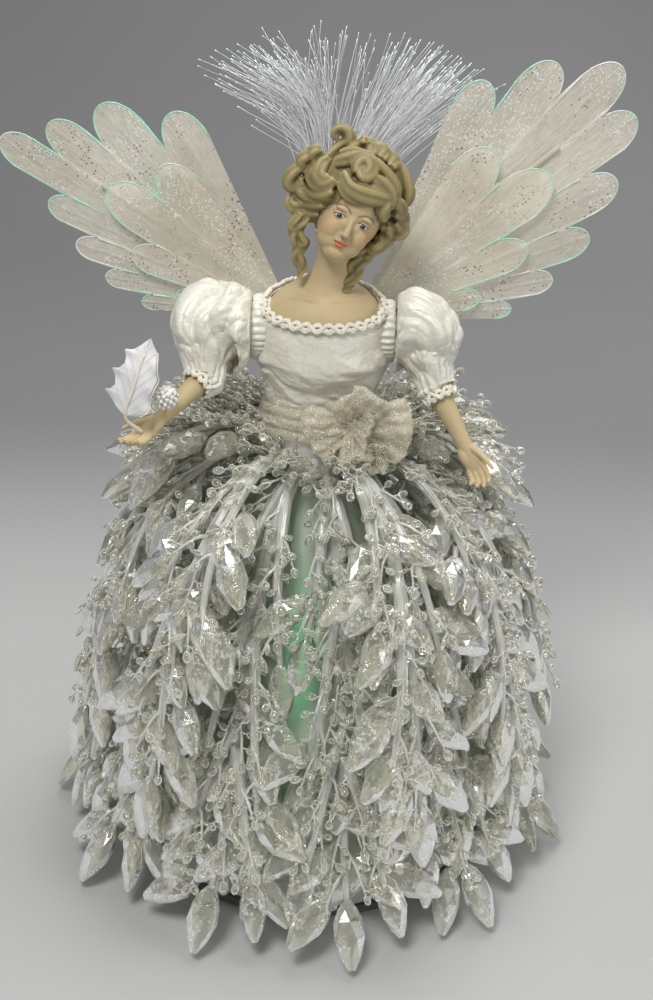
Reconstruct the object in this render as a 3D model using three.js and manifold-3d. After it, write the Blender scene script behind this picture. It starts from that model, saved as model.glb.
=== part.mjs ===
// A beaded angel figurine: a bisque half doll with puffed sleeves and feathered wings stands on a bell of
// clear moulded sprays. A lamp and a turning colour wheel in the base light a tuft of optical fibres
// behind the head. Millimetres, +Z up, the angel faces -Y, origin at the middle of the base's underside.
import * as THREE from "three";
import { mergeVertices } from "three/addons/utils/BufferGeometryUtils.js";
import Module from "manifold-3d";

const wasm = await Module();
wasm.setup();

// Clearances
const seatGap = 0.3; // between a piece and what it rests on
const overrun = 3; // how far a cutting tool runs past what it cuts
const weldShare = 1e-6; // of the base's radius, to merge the shared corners of a mesh
const turnedSides = 24;

// Base
const plate = {
  radius: 88, thickness: 4, recess: 1.5, padRadius: 14, rimWidth: 8,
  spigotHeight: 4, spigotWall: 2, ventRadius: 4, ventCircle: 32, ventCount: 6,
};
const housing = {
  radius: 44, height: 58, wall: 1.6, louvreWidth: 5, louvreHeight: 26, louvreDrop: 12, louvreCount: 8,
};
const lamp = { radius: 17.5, height: 24, offset: 13, pinRadius: 5, lip: 1.2 };
const lampOutsideShares = [[0.34, 0.24], [0.7, 0.5], [0.94, 0.82], [1, 1]];
const lampInsideShares = [[0.76, 0.72], [0.4, 0.5], [0.12, 0.46], [0.1, 0.66], [0, 0.7]];
const socket = { radius: 8, height: 9 };
const motor = { radius: 11, height: 16, offset: 11, bore: 5 };
const wheel = {
  edgeGap: 1.9, thickness: 1.2, hubRadius: 4, hubHeight: 5, spindleRadius: 1.2, aboveLamp: 6,
  panes: 4, slotWidth: 1.5, slotInset: 8,
};
const ferrule = { wall: 3, flangeWidth: 4, flangeHeight: 2, length: 23, aboveWheel: 4 };
const jack = { width: 9, height: 11, depth: 14, boreRadius: 3, boreDepth: 9, pinRadius: 1 };

// Skirt former, its gathered overskirt and the collar that the sprays are set in
const cone = {
  rimShow: 2, shoulderRadius: 21, neckRadius: 15, wall: 1.5, height: 190, neckHeight: 20.5,
  bulge: 1.6, // power of the bell curve
  bends: 4,
};
const overskirtCloth = {
  thickness: 0.8, hemLift: 8, foldDepth: 2.6, folds: 10, pointsPerFold: 3, topDrop: 4,
};
const collar = { radius: 23, height: 20 };

// Sprays: moulded stems with faceted drops, in three tiers from the collar outwards
const stem = { radius: 1.4, tipRadius: 0.9, sides: 3, rootGap: 0.35 };
const drop = {
  length: 33, radius: 6.5, neckRadius: 0.9, sides: 4,
  splay: 38, lean: 12, // degrees from the stem, to the side and outwards
};
const dropLengthShares = [0, 0.55, 1];
const dropRadiusShares = [0, 1, 0];
const tiers = {
  long: {
    rootRise: 4.5, endReachShare: 1.29, endHeightShare: 0.144,
    azimuths: [-162, -126, -90, -55, -22, 10, 42, 76, 112, 148],
    reachShares: [0, 0.19, 0.44, 0.625, 0.785, 0.91, 1],
    fallShares: [0, 0.05, 0.24, 0.51, 0.76, 0.93, 1],
    dropShares: [0.5, 0.64, 0.77, 0.89],
  },
  middle: {
    rootRise: 10, endReachShare: 1.302, endHeightShare: 0.391,
    azimuths: [-144, -108, -72, -38, 26, 59, 94, 130],
    reachShares: [0, 0.28, 0.62, 0.82, 0.94, 1],
    fallShares: [0, 0.03, 0.23, 0.52, 0.82, 1],
    dropShares: [0.52, 0.68, 0.85],
  },
  upper: {
    rootRise: 15.5, endReachShare: 0.977, endHeightShare: 1.014,
    azimuths: [-120, -78, 82, 122],
    reachShares: [0, 0.35, 0.7, 1],
    fallShares: [0, -0.42, -0.25, 1],
    dropShares: [0.55, 0.78],
  },
};

// Torso: a core on the cone's neck, the bust that covers its top, and the bodice over both
const core = { trunkClearance: 0.5, stubDepth: 12, sides: 12 };
const coreHeights = [0, 12, 24, 38, 50];
const coreHalfWidths = [19, 19, 22, 26, 20];
const coreHalfDepths = [15, 15, 17.5, 19, 11];
const bodiceCloth = { thickness: 1.4, foldDepth: 0.9, folds: 8, pointsPerFold: 3, hemLift: 1 };
const bodiceHeights = [0, 10, 20, 30];
const bodiceHalfWidths = [22, 23, 26.5, 30];
const bodiceHalfDepths = [18, 18.5, 22, 25.5];
const shoulders = { halfWidth: 29, halfDepth: 22.5, rise: 26, aboveWaist: 39, set: -1 };
const neckline = { halfWidth: 25, halfDepth: 18, set: -5 };
const braid = { radius: 1.5, wave: 1.1, sides: 4, stepsPerWave: 3, neckWaves: 12, cuffWaves: 7 };
const sash = { height: 10, thickness: 2.4, lift: 2, folds: 8, foldShare: 0.03, ease: 1.5 };
const sashHeightShares = [0, 0.25, 0.5, 0.75, 1];
const sashSwellShares = [0.35, 1, 0.6, 1, 0.35];
const bow = {
  offset: 15, rise: 8, knotRadius: 5.5, knotSink: 3, loopHeight: 10, loopDepth: 6.5, loopLength: 28,
  folds: 3,
};
const bowLoops = [
  { way: [1, -0.3, 0.06], lengthShare: 1 },
  { way: [-1, -0.12, -0.1], lengthShare: 0.93 },
  { way: [0.6, -0.55, -0.75], lengthShare: 0.89 },
  { way: [-0.1, -0.35, 0.9], lengthShare: 0.68 },
];
const bowLengthShares = [0, 0.2, 0.5, 0.8, 1];
const bowSizeShares = [0.35, 0.75, 1, 0.8, 0.3];
const bowFoldShare = 0.12;

// Head, leaning to the angel's left with a glance down. Hair places are shares of the head's half sizes.
const head = {
  halfWidth: 15.5, halfDepth: 18, halfHeight: 21.5, tilt: 24, nod: -4, turn: 0,
  aboveShoulders: 55, leanAside: 6, leanForward: 8,
};
const neck = { radius: 8, rootRadius: 12.5, sides: 12 };
const nose = { rootRadius: 0.8, radius: 1.9, wingRadius: 1.2 };
const noseShares = [[0, -0.9, 0.25], [0, -1.12, -0.12], [0, -0.9, -0.2]];
const hair = {
  halfWidth: 22, halfDepth: 20, halfHeight: 18, lockRadius: 4.6, ringletRadius: 3.2, lockSides: 4,
};
const hairCentreShares = [0.05, 0.22, 0.62];
const faceOpeningShares = [0, -1.1, -0.35];
const lockShares = [
  [[0.05, -0.75, 0.85], [0.55, -0.85, 0.8], [1.05, -0.55, 0.62], [1.3, -0.1, 0.3]],
  [[0, -0.8, 0.95], [-0.5, -0.95, 0.75], [-1, -0.7, 0.5], [-1.35, -0.3, 0.35]],
  [[0.2, -0.5, 1.25], [0.7, -0.6, 1.2], [1.15, -0.2, 0.95], [1.35, 0.2, 0.6]],
  [[-0.1, -0.5, 1.2], [-0.6, -0.55, 1.25], [-1.1, -0.3, 0.95], [-1.25, 0.2, 0.7]],
  [[0.1, 0.1, 1.35], [-0.35, -0.1, 1.5], [-0.5, -0.3, 1.75], [-0.25, -0.4, 1.8]],
  [[0.2, 0, 1.3], [0.6, -0.1, 1.45], [0.95, -0.1, 1.4], [1.1, 0.1, 1.15]],
];
const ringletShares = [
  [[-0.8, 0, 0], [-1.3, -0.25, -0.45], [-1.05, -0.1, -0.8], [-1.25, -0.3, -1.15], [-1, -0.35, -1.4]],
  [[0.8, 0, -0.1], [1.2, -0.3, -0.5], [0.95, -0.2, -0.85], [1.05, -0.45, -1.15], [0.75, -0.5, -1.4]],
];

// Arms: a wire with a ball in the shoulder's socket and a straight run, on whose line the arm swings
const shoulderBall = { radius: 3.6, spread: 22, aboveWaist: 41 };
const armWire = { radius: 1.3, straight: 9, plugDepth: 8, steps: 6, sides: 5 };
const armhole = { radius: 7.5 };
const upperArm = { length: 19.5 };
const forearm = { length: 41, topRadius: 5.4, wristRadius: 3.3, sides: 8 };
const palm = { halfWidth: 5, halfDepth: 2.3, halfLength: 7.2 };
const finger = { length: 13.5, radius: 1.3, tipRadius: 0.8, spacing: 2.5, sides: 4 };
const fingerLengthShares = [0.86, 1, 0.94, 0.76];
const sleeve = { radius: 20, reach: 22, plane: 31.7, folds: 7, foldShare: 0.07, pointsPerFold: 3 };
const cuff = { radius: 8.4, fromElbow: 15 };
const arms = {
  right: {
    hand: -1, upperWay: [12, -9.5, -12], foreWay: [-24, -26.5, -17], palmFacing: [-0.1, -0.35, 1], curl: 16,
    puffShares: [[0, 0, 0.05], [0.44, -0.14, 0.05], [0.8, -0.32, -0.04], [0.88, -0.54, -0.38]],
    puffRadiusShares: [0.65, 0.95, 0.98, 0.74],
  },
  left: {
    hand: 1, upperWay: [11, -9.5, -8], foreWay: [19, -18.5, -30.5], palmFacing: [-0.25, -1, 0.15], curl: 20,
    puffShares: [[0, 0, 0.09], [0.36, -0.14, 0.09], [0.6, -0.32, -0.09], [0.72, -0.5, -0.42]],
    puffRadiusShares: [0.65, 0.95, 0.9, 0.67],
  },
};

// Held in the right hand: a cloth leaf on its wire and a beaded berry
const leaf = {
  length: 38, width: 25, thickness: 0.8, ribRadius: 0.7, alongArm: 52,
  stemLength: 12, stemWay: [-0.5, -0.45, 0.75],
  way: [0.3, 0.15, 0.94], facing: [-0.12, -1, 0.25],
};
const leafOutlineShares = [
  [0, 0], [0.3, 0.1], [0.5, 0.3], [0.34, 0.36], [0.5, 0.58], [0.3, 0.62], [0.36, 0.84], [0.16, 0.8],
  [0, 1], [-0.12, 0.78], [-0.36, 0.8], [-0.3, 0.6], [-0.5, 0.52], [-0.36, 0.36], [-0.44, 0.22], [-0.2, 0.08],
];
const berry = { radius: 5.4, stemRadius: 0.7, alongArm: 36, stemLength: 11, stemWay: [0.1, -0.25, 1] };

// Fibre tuft: a trunk of fibres from the ferrule out through the back, and the spread above it
const trunk = { radius: 5, sides: 8, steps: 12, setBack: 44, endAboveWaist: 71 };
// each as [share of the offset aside, share of the set back, share of the height]
const trunkRouteShares = [
  [0.7, 0, 0.19], [0, 0, 0.39], [0, 0.01, 0.55], [0, 0.08, 0.68], [0, 0.3, 0.775], [0, 0.68, 0.85],
  [0, 0.93, 0.925], [0, 1, 1],
];
const tuft = {
  strands: 275, columns: 25, strandRadius: 0.26, backingRadius: 7, backingThickness: 1.6,
  length: 104, spreadShare: 10, depthSpread: 9, backLean: 16, droop: 28,
};

// Wings: two sheets of feathers on a wire that turns in a bracket on the back
const bracket = {
  aboveWaist: 35, width: 44, height: 17, thickness: 2.4, pinRadius: 1.2, spread: 14.5,
};
const wing = {
  length: 160, sheet: 0.8, wireRadius: 1, layerGap: 0.4, sweep: 4, wireLift: 2,
};
const feather = { pointsPerTip: 5, tipShare: 1.7, notchShare: 0.84 };
// Each feather as [degrees above level, share of the wing's length], from the lowest to the topmost
const wings = {
  right: {
    hand: -1, wireRise: 33, wireShare: 0.65,
    backShares: [
      [2, 0.44], [9, 0.55], [16, 0.65], [23, 0.76], [29.5, 0.95], [36, 0.86], [45, 0.79], [58, 0.66],
    ],
    frontShares: [[8, 0.34], [20, 0.49], [33, 0.63], [48, 0.56]],
  },
  left: {
    hand: 1, wireRise: 43, wireShare: 0.74,
    backShares: [
      [4, 0.45], [12, 0.575], [21, 0.7], [30, 0.825], [38.5, 0.95], [46, 1], [54, 0.89], [64, 0.75],
    ],
    frontShares: [[12, 0.36], [25, 0.525], [39, 0.675], [54, 0.61]],
  },
};

// Heights that follow from the sizes above
const floorOfBase = plate.thickness + seatGap;
const coneFootRadius = plate.radius - cone.rimShow;
const coneTop = floorOfBase + cone.height;
const neckTop = coneTop + cone.neckHeight;
const waist = neckTop + seatGap;
const lampTop = floorOfBase + socket.height + seatGap + lamp.height;
const wheelHeight = lampTop + wheel.aboveLamp;
const ferruleFoot = wheelHeight + wheel.thickness + ferrule.aboveWheel;
const housingTop = floorOfBase + housing.height;
const wheelRadius = housing.radius - housing.wall - motor.offset - wheel.edgeGap;
const yokeHeight = waist + bodiceHeights[bodiceHeights.length - 1];
const coreTop = waist + coreHeights[coreHeights.length - 1];
const shoulderHeight = waist + shoulders.aboveWaist;
const ballHeight = waist + shoulderBall.aboveWaist;

const radians = THREE.MathUtils.degToRad;
const point = (x, y, z) => new THREE.Vector3(x, y, z);
const wayOf = (numbers) => point(...numbers).normalize();

// Geometry helpers

/** A closed geometry as a manifold solid. */
function solid(geometry) {
  const bare = geometry.index ? geometry.toNonIndexed() : geometry.clone();
  for (const name of Object.keys(bare.attributes)) if (name !== "position") bare.deleteAttribute(name);
  const merged = mergeVertices(bare, plate.radius * weldShare);
  const corners = merged.index.array;
  const kept = [];
  for (let i = 0; i < corners.length; i += 3) {
    const [a, b, c] = [corners[i], corners[i + 1], corners[i + 2]];
    if (a !== b && b !== c && c !== a) kept.push(a, b, c);
  }
  return new wasm.Manifold(
    new wasm.Mesh({
      numProp: 3,
      vertProperties: merged.attributes.position.array,
      triVerts: new Uint32Array(kept),
    }),
  );
}

/** A manifold solid as a flat-shaded geometry. */
function surface(made) {
  const mesh = made.getMesh();
  const points = new Float32Array(mesh.numVert * 3);
  for (let i = 0; i < mesh.numVert; i++) {
    points.set(mesh.vertProperties.subarray(i * mesh.numProp, i * mesh.numProp + 3), i * 3);
  }
  const geometry = new THREE.BufferGeometry();
  geometry.setAttribute("position", new THREE.BufferAttribute(points, 3));
  geometry.setIndex(new THREE.BufferAttribute(new Uint32Array(mesh.triVerts), 1));
  const flat = geometry.toNonIndexed();
  flat.computeVertexNormals();
  return flat;
}

const join = (first, ...others) => others.reduce((all, next) => all.add(next), first);
const cut = (first, ...tools) => tools.reduce((left, tool) => left.subtract(tool), first);

/** A geometry from a flat list of triangle corners. */
function geometryOf(corners) {
  const geometry = new THREE.BufferGeometry();
  geometry.setAttribute("position", new THREE.Float32BufferAttribute(corners, 3));
  return geometry;
}

/** A closed skin over rings of points; a ring of one point is a tip. */
function loft(rings) {
  const count = Math.max(...rings.map((ring) => ring.length));
  const fewPoints = 6;
  const corners = [];
  const at = (ring, k) => ring[ring.length === 1 ? 0 : k % count];
  const face = (...points) => points.forEach((p) => corners.push(p.x, p.y, p.z));
  for (let i = 0; i < rings.length - 1; i++) {
    for (let k = 0; k < count; k++) {
      const [a, b] = [at(rings[i], k), at(rings[i], k + 1)];
      const [c, d] = [at(rings[i + 1], k), at(rings[i + 1], k + 1)];
      if (rings[i].length > 1) face(a, b, d);
      if (rings[i + 1].length > 1) face(a, d, c);
    }
  }
  for (const [ring, up] of [[rings[0], false], [rings[rings.length - 1], true]]) {
    if (ring.length === 1) continue;
    const few = ring.length < fewPoints;
    const middle = few ? ring[0] : ring.reduce((sum, p) => sum.add(p), point(0, 0, 0)).divideScalar(count);
    for (let k = few ? 1 : 0; k < (few ? count - 1 : count); k++) {
      if (up) face(middle, at(ring, k), at(ring, k + 1));
      else face(middle, at(ring, k + 1), at(ring, k));
    }
  }
  return geometryOf(corners);
}

/** Points round an ellipse in the plane of two unit vectors, each moved out by a wave of its angle. */
function ring(centre, across, along, halfAcross, halfAlong, count, wave = () => 1) {
  return Array.from({ length: count }, (_, k) => {
    const angle = (2 * Math.PI * k) / count;
    const out = wave(angle);
    return centre
      .clone()
      .addScaledVector(across, halfAcross * out * Math.cos(angle))
      .addScaledVector(along, halfAlong * out * Math.sin(angle));
  });
}

const levelRing = (height, halfWidth, halfDepth, count, wave) =>
  ring(point(0, 0, height), point(1, 0, 0), point(0, 1, 0), halfWidth, halfDepth, count, wave);

/** Directions across a path at each of its points, carried along without twisting. */
function framesAlong(points, start) {
  let across = start;
  return points.map((p, i) => {
    const ahead = points[Math.min(i + 1, points.length - 1)];
    const behind = points[Math.max(i - 1, 0)];
    const forward = ahead.clone().sub(behind).normalize();
    if (!across) across = Math.abs(forward.z) < 0.9 ? point(0, 0, 1) : point(1, 0, 0);
    across = across.clone().addScaledVector(forward, -across.dot(forward)).normalize();
    return { across, side: forward.clone().cross(across) };
  });
}

/** A tube through points with a radius at each; a radius of zero is a tip. */
function taperedTube(points, radii, sides, start = null, wave = undefined) {
  return loft(
    framesAlong(points, start).map(({ across, side }, i) =>
      radii[i] === 0 ? [points[i]] : ring(points[i], across, side, radii[i], radii[i], sides, wave),
    ),
  );
}

/** A closed loop of tube through points. */
function loopTube(points, radius, sides) {
  const corners = [];
  const rings = points.map((p, i) => {
    const ahead = points[(i + 1) % points.length];
    const behind = points[(i + points.length - 1) % points.length];
    const forward = ahead.clone().sub(behind).normalize();
    const across = point(0, 0, 1).addScaledVector(forward, -forward.z).normalize();
    return ring(p, across, forward.clone().cross(across), radius, radius, sides);
  });
  rings.forEach((here, i) => {
    const next = rings[(i + 1) % rings.length];
    here.forEach((a, k) => {
      const [b, c, d] = [here[(k + 1) % sides], next[k], next[(k + 1) % sides]];
      for (const p of [a, b, d, a, d, c]) corners.push(p.x, p.y, p.z);
    });
  });
  return geometryOf(corners);
}

/** A profile of [radius, height] turned about the Z axis, from axis to axis or closed on itself. */
function turned(profile, segments = turnedSides) {
  const area = profile.reduce((sum, [r, z], i) => {
    const [nextR, nextZ] = profile[(i + 1) % profile.length];
    return sum + r * nextZ - nextR * z;
  }, 0);
  const ordered = area > 0 ? profile : [...profile].reverse();
  const onAxis = ordered.findIndex(([r], i) => r === 0 && ordered[(i + 1) % ordered.length][0] !== 0);
  const run = onAxis < 0 ? [...ordered, ordered[0]] : [...ordered.slice(onAxis), ...ordered.slice(0, onAxis)];
  const line = run.map(([r, z]) => new THREE.Vector2(r, z));
  return new THREE.LatheGeometry(line, segments).rotateX(Math.PI / 2);
}

/** An upright drum, or a cutting tool of that shape. */
function drum(radius, foot, top, x = 0, y = 0, segments = turnedSides) {
  const geometry = new THREE.CylinderGeometry(radius, radius, top - foot, segments).rotateX(Math.PI / 2);
  return geometry.translate(x, y, (foot + top) / 2);
}

/** An egg shape about a centre, turned where a turn is given. */
function egg(halfWidth, halfDepth, halfHeight, centre, across, up, turn = null) {
  const geometry = new THREE.SphereGeometry(1, across, up).rotateX(Math.PI / 2);
  geometry.scale(halfWidth, halfDepth, halfHeight);
  if (turn) geometry.applyQuaternion(turn);
  return geometry.translate(centre.x, centre.y, centre.z);
}

const ball = (radius, centre, across = 8, up = 6) => egg(radius, radius, radius, centre, across, up);

/** A geometry modelled along +Z with its front to -Y, moved to start at a point and run along a direction. */
function aimed(geometry, from, forward, front) {
  const back = front.clone().negate().addScaledVector(forward, front.dot(forward)).normalize();
  const basis = new THREE.Matrix4().makeBasis(back.clone().cross(forward), back, forward);
  return geometry.clone().applyMatrix4(basis).translate(from.x, from.y, from.z);
}

/** A geometry reflected from left to right, with its faces turned round so that they still face out. */
function mirrored(geometry) {
  const flipped = (geometry.index ? geometry.toNonIndexed() : geometry.clone()).scale(-1, 1, 1);
  const p = flipped.attributes.position.array;
  for (let i = 0; i < p.length; i += 9) {
    for (let k = 0; k < 3; k++) [p[i + 3 + k], p[i + 6 + k]] = [p[i + 6 + k], p[i + 3 + k]];
  }
  return flipped;
}

/** A tool that cuts away everything below a height. */
function below(height) {
  const size = 4 * plate.radius;
  return solid(new THREE.BoxGeometry(size, size, size).translate(0, 0, height - size / 2));
}

/** A lying cylinder along X, as a cutting tool. */
function sideways(radius, from, to, height) {
  const tool = new THREE.CylinderGeometry(radius, radius, Math.abs(to - from), 8).rotateZ(Math.PI / 2);
  return solid(tool.translate((from + to) / 2, 0, height));
}

// Materials
const looks = {
  casing: { color: 0xe8e6e0, roughness: 0.5 },
  metal: { color: 0xb8b8b4, roughness: 0.35, metalness: 0.9 },
  ceramic: { color: 0xeeeae0, roughness: 0.7 },
  black: { color: 0x1c1c1e, roughness: 0.5 },
  film: { color: 0x8fd6c0, roughness: 0.25 },
  frosted: { color: 0xe4ece6, roughness: 0.45 },
  overskirt: { color: 0xc4dccb, roughness: 0.5 },
  crystal: { color: 0xe6e8e2, roughness: 0.08 },
  satin: { color: 0xf1eee8, roughness: 0.5 },
  trim: { color: 0xf0e8d4, roughness: 0.8 },
  tulle: { color: 0xd9d0c4, roughness: 0.6 },
  bisque: { color: 0xd6c19c, roughness: 0.6 },
  fibre: { color: 0xf2f4f8, roughness: 0.2 },
  wing: { color: 0xe3dcd2, roughness: 0.45 },
  leaf: { color: 0xe9e9ef, roughness: 0.7 },
  glitter: { color: 0xe2ddd0, roughness: 0.35 },
};
const materials = Object.fromEntries(
  Object.entries(looks).map(([name, look]) => [name, new THREE.MeshStandardMaterial(look)]),
);

const angel = new THREE.Group();
function add(name, made, look) {
  const mesh = new THREE.Mesh(surface(made), materials[look]);
  mesh.name = name;
  angel.add(mesh);
}

// The base: a plate that carries the lamp, the colour wheel and its motor under a louvred drum

const bellRadius = (share) =>
  cone.shoulderRadius + (coneFootRadius - cone.shoulderRadius) * (1 - share ** cone.bulge);

/** The room round the inlet in the plate's spigot and in the cone. */
function jackRoom() {
  const size = [jack.width + 2 * seatGap, jack.depth + 2 * overrun, jack.height + seatGap];
  const room = new THREE.BoxGeometry(...size);
  const back = coneFootRadius - jack.depth / 2 + overrun;
  return solid(room.translate(0, back, floorOfBase + jack.height / 2));
}

function basePlate() {
  const { radius, recess, padRadius, thickness: top, spigotHeight, spigotWall } = plate;
  const inner = radius - plate.rimWidth;
  const spigot = bellRadius(spigotHeight / cone.height) - cone.wall - 2 * seatGap;
  const body = solid(
    turned([
      [0, 0], [padRadius, 0], [padRadius, recess], [inner, recess], [inner, 0], [radius, 0], [radius, top],
      [spigot, top], [spigot, top + spigotHeight], [spigot - spigotWall, top + spigotHeight],
      [spigot - spigotWall, top], [0, top],
    ]),
  );
  const vents = Array.from({ length: plate.ventCount }, (_, k) => {
    const angle = (2 * Math.PI * (k + 0.5)) / plate.ventCount;
    const [x, y] = [plate.ventCircle * Math.cos(angle), plate.ventCircle * Math.sin(angle)];
    return solid(drum(plate.ventRadius, -overrun, top + overrun, x, y, 6));
  });
  return cut(body, ...vents, jackRoom());
}

function powerInlet() {
  const middle = floorOfBase + jack.height / 2;
  const body = new THREE.BoxGeometry(jack.width, jack.depth, jack.height);
  body.translate(0, coneFootRadius - jack.depth / 2, middle);
  const lying = (radius, length, inFrom) => {
    const round = new THREE.CylinderGeometry(radius, radius, length, 12);
    return solid(round.translate(0, coneFootRadius - inFrom, middle));
  };
  const bore = lying(jack.boreRadius, jack.boreDepth + overrun, (jack.boreDepth - overrun) / 2);
  const pin = lying(jack.pinRadius, jack.boreDepth, jack.boreDepth / 2 + seatGap);
  return join(cut(solid(body), bore), pin);
}

const lampSocket = () =>
  solid(drum(socket.radius, floorOfBase, floorOfBase + socket.height, -lamp.offset, 0, 12));

function reflectorLamp() {
  const place = ([across, up]) => [across * lamp.radius, up * lamp.height];
  const outside = [[0, 0], [lamp.pinRadius, 0], ...lampOutsideShares.map(place)];
  const profile = [...outside, [lamp.radius - lamp.lip, lamp.height], ...lampInsideShares.map(place)];
  return solid(turned(profile, 16).translate(-lamp.offset, 0, floorOfBase + socket.height + seatGap));
}

function wheelMotor() {
  const mouth = floorOfBase + motor.height;
  const can = drum(motor.radius, floorOfBase, mouth, motor.offset, 0, 20);
  const bore = drum(wheel.spindleRadius + seatGap, mouth - motor.bore, mouth + overrun, motor.offset, 0, 12);
  return cut(solid(can), solid(bore));
}

/** A disc of coloured panes, parted by slots, on a hub and a spindle that stands in the motor. */
function colourWheel() {
  const [foot, top] = [wheelHeight, wheelHeight + wheel.thickness];
  const spindleFoot = floorOfBase + motor.height - motor.bore + seatGap;
  const disc = solid(drum(wheelRadius, foot, top, motor.offset));
  const halfHub = wheel.hubHeight / 2;
  const hub = solid(drum(wheel.hubRadius, foot - halfHub, foot + halfHub, motor.offset, 0, 12));
  const spindle = solid(drum(wheel.spindleRadius, spindleFoot, foot, motor.offset, 0, 8));
  const slots = Array.from({ length: wheel.panes }, (_, k) => {
    const length = wheelRadius - 2 * wheel.slotInset;
    const slot = new THREE.BoxGeometry(length, wheel.slotWidth, wheel.thickness + 2 * overrun);
    slot.translate(wheel.slotInset + length / 2, 0, 0).rotateZ((2 * Math.PI * k) / wheel.panes);
    return solid(slot.translate(motor.offset, 0, foot));
  });
  return join(cut(disc, ...slots), hub, spindle);
}

function lampHousing() {
  const [r, foot, top] = [housing.radius, floorOfBase, housingTop];
  const inner = r - housing.wall;
  const lid = top - housing.wall;
  const cup = solid(turned([[0, lid], [inner, lid], [inner, foot], [r, foot], [r, top], [0, top]]));
  const port = solid(drum(trunk.radius + ferrule.wall + seatGap, foot, top + overrun, -lamp.offset, 0, 16));
  const louvres = Array.from({ length: housing.louvreCount }, (_, k) => {
    const slot = new THREE.BoxGeometry(4 * housing.wall, housing.louvreWidth, housing.louvreHeight);
    slot.translate(r, 0, top - housing.louvreDrop - housing.louvreHeight / 2);
    return solid(slot.rotateZ((2 * Math.PI * (k + 0.5)) / housing.louvreCount));
  });
  return cut(cup, port, ...louvres);
}

function fibreFerrule() {
  const inner = trunk.radius + seatGap;
  const outer = trunk.radius + ferrule.wall;
  const flange = outer + ferrule.flangeWidth;
  const seat = housingTop + seatGap;
  const [foot, top, flangeTop] = [ferruleFoot, ferruleFoot + ferrule.length, seat + ferrule.flangeHeight];
  const profile = [
    [inner, foot], [outer, foot], [outer, seat], [flange, seat], [flange, flangeTop], [outer, flangeTop],
    [outer, top], [inner, top],
  ];
  return solid(turned(profile, 12).translate(-lamp.offset, 0, 0));
}

// The skirt

/** The heights, as shares, at which the bell curve of the former and its overskirt bends. */
const bellShares = Array.from({ length: cone.bends + 1 }, (_, i) => i / cone.bends);

function skirtCone() {
  const outside = bellShares.map((share) => [bellRadius(share), floorOfBase + cone.height * share]);
  const inside = outside.map(([r, z]) => [r - cone.wall, z]).reverse();
  inside[0][1] -= cone.wall;
  const bore = cone.neckRadius - cone.wall;
  const profile = [
    ...outside, [cone.neckRadius, coneTop], [cone.neckRadius, neckTop], [bore, neckTop],
    [bore, coneTop - cone.wall], ...inside,
  ];
  return cut(solid(turned(profile)), jackRoom());
}

/** A gathered skirt over the former, in folds that deepen towards the hem. */
function overskirt() {
  const { folds, pointsPerFold, foldDepth, thickness, hemLift, topDrop } = overskirtCloth;
  const foot = (hemLift + jack.height) / cone.height;
  const top = 1 - topDrop / cone.height;
  const past = overrun / cone.height;
  const level = (share, out) => {
    const radius = bellRadius(share) + 2.5 * seatGap + out;
    const depth = foldDepth * (1 - 0.8 * share);
    const wave = (angle) => 1 + (depth / radius) * (1 + Math.cos(folds * angle));
    return levelRing(floorOfBase + cone.height * share, radius, radius, folds * pointsPerFold, wave);
  };
  const between = bellShares.slice(1, -1);
  const outer = solid(loft([foot, ...between, top].map((share) => level(share, thickness))));
  const inner = solid(loft([foot - past / 10, ...between, top + past / 10].map((share) => level(share, 0))));
  return cut(outer, inner);
}

function sprayCollar() {
  const bore = cone.neckRadius + seatGap;
  const [foot, top] = [coneTop + seatGap, coneTop + collar.height - seatGap];
  return solid(turned([[bore, foot], [collar.radius, foot], [collar.radius, top], [bore, top]]));
}

/** The line of a stem, out of the collar and down. Azimuth 0 is the front. */
function stemLine(tier, azimuth) {
  const root = collar.radius + seatGap + stem.rootGap;
  const rootHeight = coneTop + tier.rootRise;
  const [endReach, endHeight] = [coneFootRadius * tier.endReachShare, coneTop * tier.endHeightShare];
  const angle = radians(azimuth);
  const points = tier.reachShares.map((share, i) => {
    const reach = root + (endReach - root) * share;
    const height = rootHeight - (rootHeight - endHeight) * tier.fallShares[i];
    return point(reach * Math.sin(angle), -reach * Math.cos(angle), height);
  });
  return new THREE.CatmullRomCurve3(points, false, "centripetal");
}

/** A faceted drop from a point on the stem along a direction. */
function dropAt(from, direction, across) {
  const place = (share) => from.clone().addScaledVector(direction, drop.length * share);
  const points = dropLengthShares.map(place);
  const radii = dropRadiusShares.map((share, i) => (i === 0 ? drop.neckRadius : drop.radius * share));
  return solid(taperedTube(points, radii, drop.sides, across));
}

/** A stem with drops to alternate sides and one at its end. */
function spray(tier, azimuth) {
  const line = stemLine(tier, azimuth);
  const last = tier.reachShares.length - 1;
  const points = line.getPoints(last);
  const radii = points.map((_, i) => stem.radius + (stem.tipRadius - stem.radius) * (i / last));
  const angle = radians(azimuth);
  const side = point(Math.cos(angle), Math.sin(angle), 0);
  let made = solid(taperedTube(points, radii, stem.sides, side));
  tier.dropShares.forEach((share, i) => {
    const along = line.getTangent(share);
    const out = side.clone().cross(along).normalize();
    const hand = i % 2 === 0 ? 1 : -1;
    const direction = along
      .clone()
      .addScaledVector(side, hand * Math.tan(radians(drop.splay)))
      .addScaledVector(out, Math.tan(radians(drop.lean)))
      .normalize();
    made = join(made, dropAt(line.getPoint(share), direction, out));
  });
  const along = line.getTangent(1);
  return join(made, dropAt(points[last].clone().addScaledVector(along, -stem.radius), along, side));
}

// The fibre trunk and the tuft

const trunkEnd = point(0, trunk.setBack, waist + trunk.endAboveWaist);

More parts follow.
